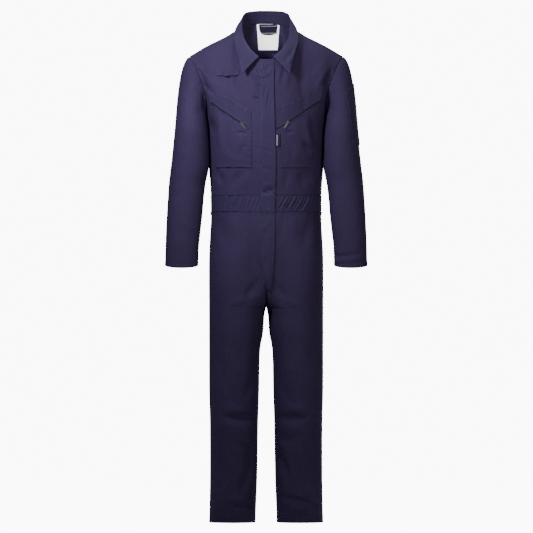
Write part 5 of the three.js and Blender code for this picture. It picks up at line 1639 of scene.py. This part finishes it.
@dataclass
class FrontLayers:
    """What is sewn on the upper front: chest bands, zips, pockets, placket, radio loop and side label."""

    shop: Shop
    surface: Surface
    lift: float = 2.1
    lip: float = 0.9
    band_rows: tuple[float, ...] = (2.0, 7.5)
    pocket_rows: tuple[float, ...] = (2.0, 6.0)
    lip_row: float = 2.2
    coil_pitch: float = 1.7
    tooth: tuple[float, ...] = (1.05, 2.3, 1.0)
    tooth_shift: float = 0.95
    coil_proud: float = 2.2
    tape_proud: float = 1.5
    loop_end: float = -145.0
    loop_long: float = 65.5
    loop_low: float = -122.5
    loop_wide: float = 19.0
    label_across: tuple[float, float] = (29.0, 40.0)
    label_heights: tuple[float, float] = (-333.0, -294.5)
    tacks: Tacks = Tacks()

    def layer(self, name: str, x: np.ndarray, z: np.ndarray, relief: np.ndarray, **options) -> np.ndarray:
        """Lays a piece on the front and makes it.

        Args:
            name: the piece and the node it replaces.
            x: grid of places across, rising with the first axis.
            z: grid of heights, rising with the second axis.
            relief: how far each place stands off the cloth under it.
            options: further fields of the cloth.

        Returns:
            The piece's outer points.
        """
        base = self.surface.lay(x, z)
        points = base + grid_normals(base) * relief[..., None]
        settings = {"material": self.shop.finishes.doubled, "nodes": (name,)} | options
        self.shop.make(Cloth(name, points, **settings))
        return points

    @staticmethod
    def edges(x: np.ndarray, z: np.ndarray) -> Edges:
        """Returns the distance of each place from its piece's edges, as seen from the front."""
        return Edges.of(np.stack([x, 0 * x, z], -1))

    def build(self) -> None:
        """Makes all of them."""
        for name, spec in CHEST.items():
            self.band(name, spec)
            self.pocket(name, spec)
            self.zip(name, spec)
        self.placket()
        self.radio_loop()
        self.side_label()

    def band(self, name: str, spec: ChestSpec) -> None:
        """Makes the slanted strip above a chest zip, folded over its lip.

        Args:
            name: the side, as its nodes are named.
            spec: the pocket's lines.
        """
        on_right = spec.side is Side.RIGHT
        inner = spec.band_top.keys[0]
        place = inner + (CHEST_ARM_END - inner) * marks(150, reach=8, coarse=2.6)
        place = place[::-1] if on_right else place
        share = marks(42, fine=0.8, reach=9, coarse=2.2)
        high = spec.band_top.straight("z", place)[:, None]
        low = spec.zip_line.straight("z", place)[:, None] + ZIP_SLOT / 2 - self.lip
        z = low + (high - low) * share[None, :]
        x = np.broadcast_to((spec.side.value * place)[:, None], z.shape)
        edges = self.edges(x, z)
        centre_side, arm_side = (edges.end, edges.start) if on_right else (edges.start, edges.end)
        relief = self.lift + sewn_edge(edges.low, edges.start, (self.lip_row,), 0.2, 1.0, 0.5)
        relief = relief + sewn_edge(edges.high, edges.start, self.band_rows, 0.3, 2.0, 0.35)
        pucker = np.exp(-centre_side / 16) * smoothstep(centre_side, 0, 3)
        slant = x if on_right else 0.5 * x + 0.75 * z
        relief = relief + 0.85 * pucker * wander(slant, 9.5, 4)
        relief = relief + 0.9 * wander(edges.start, 26, 3 + spec.side.value) * np.exp(-edges.high / 14)
        tug = np.exp(-arm_side / 22) * smoothstep(arm_side, 0, 3)
        relief = relief + 1.1 * wander(x * 0.6 + z * 1.3, 15, 6) * tug
        # The zip lip and upper seam painted paler: wear and a painted highlight on the fold
        worn = np.maximum(worn_edge(edges.low, 1.6, 0.6), worn_edge(edges.high, 1.1, 0.4))
        points = self.layer(f"chest_band_{name}", x, z, relief, worn=worn)
        self.shop.sewing.add_grid_row("upper", points, "v0", self.lip_row)
        for distance in self.band_rows:
            self.shop.sewing.add_grid_row("upper", points, "v1", distance)

    def pocket(self, name: str, spec: ChestSpec) -> None:
        """Makes the pocket bag sewn on under a chest zip.

        Args:
            name: the side, as its nodes are named.
            spec: the pocket's lines.
        """
        on_right = spec.side is Side.RIGHT
        along = marks(106, fine=0.8, reach=9, coarse=2.6)
        along = along[::-1] if on_right else along
        share = marks(150, fine=0.8, reach=9, coarse=2.8)
        outer = POCKET_BOTTOM_OUTER + (POCKET_TOP_OUTER - POCKET_BOTTOM_OUTER) * share[None, :]
        across = POCKET_INNER + (outer - POCKET_INNER) * along[:, None]
        high = spec.zip_line.straight("z", across) - ZIP_SLOT / 2 + self.lip
        z = POCKET_BOTTOM + (high - POCKET_BOTTOM) * share[None, :]
        x = spec.side.value * across
        edges = self.edges(x, z)
        centre_side = edges.end if on_right else edges.start
        relief = self.lift + sewn_edge(edges.high, edges.start, (self.lip_row,), 0.2, 3.0, 0.5)
        relief = relief + sewn_edge(edges.low, edges.start, (2.0,), 0.3, 5.0, 0.4)
        relief = relief + sewn_edge(centre_side, edges.low, self.pocket_rows, 0.45, 6.0, 0.4)
        bag = smoothstep(edges.nearest(), 4, 34)
        relief = relief + 1.3 * bag + 0.5 * bag * wander(x * 0.7 + z, 62, 2 + spec.side.value)
        tug = np.exp(-centre_side / 13) * smoothstep(centre_side, 0, 3)
        relief = relief + 0.6 * tug * wander(z + 0.3 * x, 11, 5 + spec.side.value)
        relief = relief + folds_at(POCKET_FOLDS[spec.side], x, z) * smoothstep(bag, 0, 0.4)
        # The zip lip, bottom and inner edges painted paler: wear and a painted highlight
        worn = np.maximum(worn_edge(edges.high, 1.6, 0.6), worn_edge(edges.low, 1.4, 0.5))
        worn = np.maximum(worn, worn_edge(centre_side, 1.1, 0.4))
        points = self.layer(f"chest_pocket_{name}", x, z, relief, worn=worn,
                            material=self.shop.finishes.twill)
        inner_edge = "u1" if on_right else "u0"
        self.shop.sewing.add_grid_row("upper", points, "v1", self.lip_row)
        self.shop.sewing.add_grid_row("upper", points, "v0", 2.0)
        for distance in self.pocket_rows:
            self.shop.sewing.add_grid_row("upper", points, inner_edge, distance)

    def zip(self, name: str, spec: ChestSpec) -> None:
        """Makes the zip's tape and its two rows of coil.

        Args:
            name: the side, as its nodes are named.
            spec: the pocket's lines.
        """
        outer = CHEST_ARM_END - 1
        place = spec.zip_end + (outer - spec.zip_end) * np.linspace(0, 1, 60)
        place = place[::-1] if spec.side is Side.RIGHT else place
        middle = spec.zip_line.straight("z", place)
        z = middle[:, None] + (np.linspace(0, 1, 7)[None, :] - 0.5) * ZIP_TAPE
        x = np.broadcast_to((spec.side.value * place)[:, None], z.shape)
        self.layer(f"chest_zip_{name}", x, z, np.full(x.shape, self.tape_proud), slot="navy_tape",
                   material=self.shop.finishes.tape, thickness=0.7)
        self.coil(name, spec.side.value * place, middle)

    def coil(self, name: str, x: np.ndarray, z: np.ndarray) -> None:
        """Makes the closed coil: two rows of teeth that meet on the zip's middle line.

        Args:
            name: the side, as its nodes are named.
            x: places across on the middle line.
            z: their heights.
        """
        path = self.surface.lay(x, z) + np.array([0.0, -self.coil_proud, 0.0])
        sizes = lengths(path)
        teeth = []
        for index, distance in enumerate(np.arange(1.0, sizes[-1] - 1, self.coil_pitch)):
            here = along_path(distance, sizes, path)
            ahead = unit(along_path(distance + 1, sizes, path) - here)
            up = unit(np.cross(ahead, np.array([0.0, 0.0, 1.0])))
            up = up if up[1] < 0 else -up
            side = np.cross(up, ahead)
            centre = here + side * (self.tooth_shift if index % 2 else -self.tooth_shift)
            teeth.append((centre, *(way * size for way, size in zip((ahead, side, up), self.tooth))))
        put_blocks(f"chest_zip_coil_{name}", teeth, self.shop.finishes.coil)

    def placket(self) -> None:
        """Makes the fly strip over the main zip, sewn on its right and free on its left."""
        top, bottom = PLACKET_LINE.keys[-1], PLACKET_LINE.keys[0]
        z_line = np.linspace(bottom, top, 250)
        row = PLACKET_LINE.at(z_line)
        share = marks(40, fine=0.8, reach=8, coarse=1.8)
        x = row["sewn"][None, :] + (row["free"] - row["sewn"])[None, :] * share[:, None]
        z = np.broadcast_to(z_line[None, :], x.shape)
        edges = self.edges(x, z)
        left, right = edges.start, edges.end
        over = smoothstep(z, BAND_BOTTOM - 8, BAND_BOTTOM + 2)
        over = over * (1 - smoothstep(z, BAND_TOP - 2, BAND_TOP + 8))
        relief = 0.1 + (self.lift + 0.3) * smoothstep(left, -1, 6)
        relief = relief + sewn_edge(left, z, (2.0,), 0.4, 1.0, 0.0)
        relief = relief + sewn_edge(right, z, (1.5,), 0.0, 1.0, 0.4)
        loose = smoothstep(right, 22, 2) * (1 - over) * smoothstep(edges.high, 0, 30)
        relief = relief + 2.4 * over + 1.3 * loose
        relief = relief + folds_at(PLACKET_FOLDS, x, z) * smoothstep(left, 0, 4)
        relief = relief + 0.35 * wander(z, 23, 4) * np.exp(-left / 14) * smoothstep(left, 0, 3)
        # Both edges painted paler: wear and a painted highlight
        worn = np.maximum(worn_edge(right, 1.4, 0.5), worn_edge(left, 1.2, 0.5))
        points = self.layer("front_placket", x, z, relief, worn=worn,
                            rests_on=("front_left", "front_right"))
        self.shop.sewing.add_grid_row("upper", points, "u0", 2.0)

    def radio_loop(self) -> None:
        """Makes the strip on the right chest, tacked down at four places and open under its lower edge."""
        across = self.loop_end + self.loop_long * marks(self.loop_long, fine=0.8, reach=6, coarse=1.6)
        share = marks(self.loop_wide, fine=0.8, reach=5, coarse=1.6)[None, :]
        bow, below = self.tacks.bow(across)[:, None], 1 - share
        z = self.loop_low + self.loop_wide * share - bow * below * 0.7
        x = np.broadcast_to(across[:, None], z.shape)
        edges, tack = self.edges(x, z), self.tacks.pull(x)
        relief = self.lift - 0.5 + 0.9 * below + bow * below**1.4 - 0.6 * tack
        relief = relief + 2.4 * (1 - smoothstep(edges.low, 0.5, 5.0)) * (1 - 0.6 * tack)
        relief = relief - 0.9 * swell(edges.high, 2.5)
        # Its lower edge is painted paler: wear and a painted highlight
        points = self.layer("radio_loop", x, z, relief, worn=worn_edge(edges.low, 1.4, 0.3))
        for place in self.tacks.places:
            column = int(np.argmin(np.abs(across - place)))
            line, up = points[column], grid_normals(points)[column]
            for shift in (-0.5, 0.5):
                self.shop.sewing.add("upper", line + np.array([shift, 0, 0]), up)

    def side_label(self) -> None:
        """Makes the folded label at the placket's edge: a bare navy loop with a pale woven strip."""
        across, heights = np.linspace(*self.label_across, 12), np.linspace(*self.label_heights, 24)
        x, z = np.meshgrid(across, heights, indexing="ij")
        relief = 1.6 + 0.9 * smoothstep(x, *self.label_across) + 0.3 * wander(z, 22, 1)
        points = self.layer("side_label", x, z, relief, material=self.shop.finishes.tape, slot="navy_tape",
                            thickness=0.6)
        strip = points[1:6, 2:-2] + grid_normals(points)[1:6, 2:-2] * 0.35
        self.shop.make(Cloth("side_label_strip", strip, self.shop.finishes.pale, slot="white_satin",
                             thickness=0.25, rests_on=("side_label",)))


@dataclass
class NeckTrims:
    """What hangs inside the back of the neck: a care label, a hanger loop and a woven label."""

    shop: Shop
    neck_y: float = 77.0
    neck_z: float = 37.5
    care_left: float = -27.8
    care_wide: float = 67.2
    care_taper: float = 5.5
    care_bottom: float = -42.0
    care_tall: float = 77.1
    care_ahead: float = 2.3
    care_least: float = 1.9
    label_across: tuple[float, float] = (-15.4, 32.0)
    label_heights: tuple[float, float] = (5.9, 34.5)
    label_ahead: float = 6.4
    stripes: tuple[tuple[str, int, int], ...] = (("top", 14, 16), ("bottom", 0, 2))
    loop_middle: float = 6.25
    loop_half: float = 27.25
    loop_top: float = 34.3
    loop_tall: float = 32.3
    loop_wide: float = 5.5
    loop_ahead: float = 4.9

    def hang(self, x: np.ndarray, z: np.ndarray, ahead: Values) -> np.ndarray:
        """Hangs a sheet from the neck seam.

        Args:
            x: places across.
            z: heights, cut off at the seam.
            ahead: how far the sheet lies in front of the back.

        Returns:
            The points.
        """
        seam_y = self.neck_y - 0.0075 * x * x
        seam_z = self.neck_z - 0.0035 * x * x - 1.2
        return np.stack([x, seam_y - ahead, np.minimum(z, seam_z)], -1)

    def build(self) -> None:
        """Makes the three of them."""
        self.care_label()
        self.neck_label()
        self.loop()

    def trim(self, name: str, points: np.ndarray, material: bpy.types.Material, slot: str,
             thickness: float, behind: str) -> None:
        """Makes one hanging trim.

        Args:
            name: the piece and the node it replaces.
            points: its outer face.
            material: its finish.
            slot: its slot in the frame.
            thickness: its thickness in mm.
            behind: the piece that it lies on.
        """
        self.shop.make(Cloth(name, points, material, (name,), slot, thickness, held="hung",
                             rests_on=(behind,)))

    def care_label(self) -> None:
        """Makes the wide white label, which narrows a little towards its foot and is softly dented."""
        share, rise = np.linspace(0, 1, 40)[:, None], np.linspace(0, 1, 44)[None, :]
        taper = self.care_taper * (1 - rise)
        x = self.care_left + taper + (self.care_wide - 2 * taper) * share
        z = self.care_bottom + self.care_tall * rise + 0 * x
        ahead = self.care_ahead + 0.7 * wander(x * 0.8 + z * 0.6, 34, 2) * smoothstep(-z, -34, 20)
        ahead = ahead + folds_at(CARE_FOLDS, x, z)
        points = self.hang(x, z, np.maximum(ahead, self.care_least))
        self.trim("care_label", points, self.shop.finishes.satin, "white_satin", 0.3, "back")

    def neck_label(self) -> None:
        """Makes the woven label with its two pale stripes."""
        across, heights = np.linspace(*self.label_across, 30), np.linspace(*self.label_heights, 20)
        label = self.hang(*np.meshgrid(across, heights, indexing="ij"), self.label_ahead)
        self.trim("neck_label", label, self.shop.finishes.tape, "navy_tape", 0.5, "hanger_loop")
        for name, low, high in self.stripes:
            strip = label[:, low:high + 1] + np.array([0, -0.35, 0])
            self.shop.make(Cloth(f"neck_label_stripe_{name}", strip, self.shop.finishes.pale,
                                 slot="white_satin", thickness=0.25, rests_on=("neck_label",)))

    def loop(self) -> None:
        """Makes the U of tape for a hook."""
        turn = math.pi * np.linspace(0, 1, 60)[:, None]
        inner = np.linspace(0, 1, 6)[None, :]
        reach = 1 - (self.loop_wide / self.loop_half) * inner
        drop = 1 - (self.loop_wide / self.loop_tall) * inner
        bend = np.sign(np.cos(turn)) * np.abs(np.cos(turn)) ** 0.55
        x = self.loop_middle - self.loop_half * reach * bend
        z = self.loop_top - self.loop_tall * drop * np.sin(turn) ** 0.7
        points = self.hang(x, z, self.loop_ahead)
        self.trim("hanger_loop", points, self.shop.finishes.tape, "navy_tape", 1.0, "back")


@dataclass(frozen=True)
class Lamp:
    """A square soft light: its name, place, side in metres, watts, the point it faces and its tint."""

    name: str
    place: tuple[float, float, float]
    size: float
    watts: float
    aim: tuple[float, float, float]
    tint: str = "#ffffff"


LAMPS = (
    Lamp("key", (-0.56, -0.84, 0.32), 0.2, 4.5, (0.0, 0.0, -0.44)),
    Lamp("fill", (0.8, -1.5, -0.05), 0.8, 4.0, (0.0, 0.0, -0.25), "#fff3e8"),
    Lamp("top", (0.1, 0.4, 1.5), 1.0, 6.0, (0.0, 0.0, -0.1)),
    Lamp("back", (0.8, 3.4, 0.8), 2.2, 30.0, (0.0, 0.0, -0.7)),
)


@dataclass
class Studio:
    """A pale floor, soft lights and the photo's view."""

    floor_drop: float = 1.4445
    floor_half: float = 9.0
    view_across: float = 0.001
    view_height: float = -0.685
    view_away: float = 20.0
    lens: float = 456.4
    ambient: float = 0.028
    spread: float = 105.0
    white: float = 10.0

    def build(self) -> None:
        """Makes the floor, the lights, the world and the camera."""
        mesh = bpy.data.meshes.new("studio_floor")
        bm = bmesh.new()
        middle = Matrix.Translation((0, 0, -self.floor_drop))
        bmesh.ops.create_grid(bm, x_segments=1, y_segments=1, size=self.floor_half, matrix=middle)
        bm.to_mesh(mesh)
        bm.free()
        floor = bpy.data.objects.new("studio_floor", mesh)
        bpy.context.scene.collection.objects.link(floor)
        paper, tree, shader = new_material("studio_paper")
        # The sweep's paper is lit from below, so that it is as white to the eye as what is behind it
        sight = add_node(tree, "ShaderNodeLightPath").outputs["Is Camera Ray"]
        glow = add_node(tree, "ShaderNodeMapRange", Value=sight, To_Min=0.0, To_Max=self.white)
        set_inputs(shader, Base_Color=linear("#f4f4f4"), Roughness=0.9, Emission_Color=(1, 1, 1, 1),
                   Emission_Strength=glow.outputs["Result"])
        mesh.materials.append(paper)
        self.surround()
        for lamp in LAMPS:
            self.light(lamp)
        view = bpy.data.cameras.new("photo_view")
        view.lens = self.lens
        camera = bpy.data.objects.new("photo_view", view)
        camera.location = (self.view_across, -self.view_away, self.view_height)
        camera.rotation_euler = (math.pi / 2, 0, 0)
        bpy.context.scene.collection.objects.link(camera)
        bpy.context.scene.camera = camera

    def surround(self) -> None:
        """Makes a white sweep behind the suit that lights it only softly."""
        world = bpy.data.worlds.new("studio_world")
        bpy.context.scene.world = world
        world.use_nodes = True
        tree = world.node_tree
        sight = add_node(tree, "ShaderNodeLightPath").outputs["Is Camera Ray"]
        strength = add_node(tree, "ShaderNodeMapRange", Value=sight, To_Min=self.ambient, To_Max=self.white)
        hue = add_node(tree, "ShaderNodeMix", {"data_type": "RGBA"}, Factor=sight)
        hue.inputs[6].default_value = linear("#ffe9ec")
        hue.inputs[7].default_value = (1, 1, 1, 1)
        set_inputs(tree.nodes["Background"], Strength=strength.outputs["Result"], Color=hue.outputs[2])

    def light(self, lamp: Lamp) -> None:
        """Adds one lamp.

        Args:
            lamp: its sizes.
        """
        area = bpy.data.lights.new(lamp.name, "AREA")
        area.size = lamp.size
        area.energy = lamp.watts
        area.spread = math.radians(self.spread)
        area.color = linear(lamp.tint)[:3]
        holder = bpy.data.objects.new(lamp.name, area)
        holder.location = lamp.place
        holder.rotation_euler = (Vector(lamp.aim) - Vector(lamp.place)).to_track_quat("-Z", "Y").to_euler()
        holder.visible_camera = False
        bpy.context.scene.collection.objects.link(holder)


def dress_hardware(finishes: Finishes) -> None:
    """Gives the sliders and pull tabs of the frame their plated metal.

    Args:
        finishes: the suit's finishes.
    """
    for side in Side:
        for part in ("zip_slider", "zip_tab"):
            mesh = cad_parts[f"{part}_{side.name.lower()}"].data
            mesh.materials.clear()
            mesh.materials.append(finishes.metal)


def main() -> None:
    """Builds the suit and its studio."""
    logging.basicConfig(level=logging.INFO)
    shop = Shop()
    Panels(shop).build()
    Sleeves(shop).build()
    Waistband(shop).build()
    upper = shop.named("front_right", "front_left", "back")
    front = shop.named("front_right", "front_left", "leg_front_right", "leg_front_left",
                       "waistband_front_right", "waistband_front_left")
    Collar(shop).build(Surface(upper))
    FrontLayers(shop, Surface(front)).build()
    NeckTrims(shop).build()
    shop.sewing.build(shop.finishes.thread)
    dress_hardware(shop.finishes)
    Studio().build()


if __name__ == "__main__":
    main()
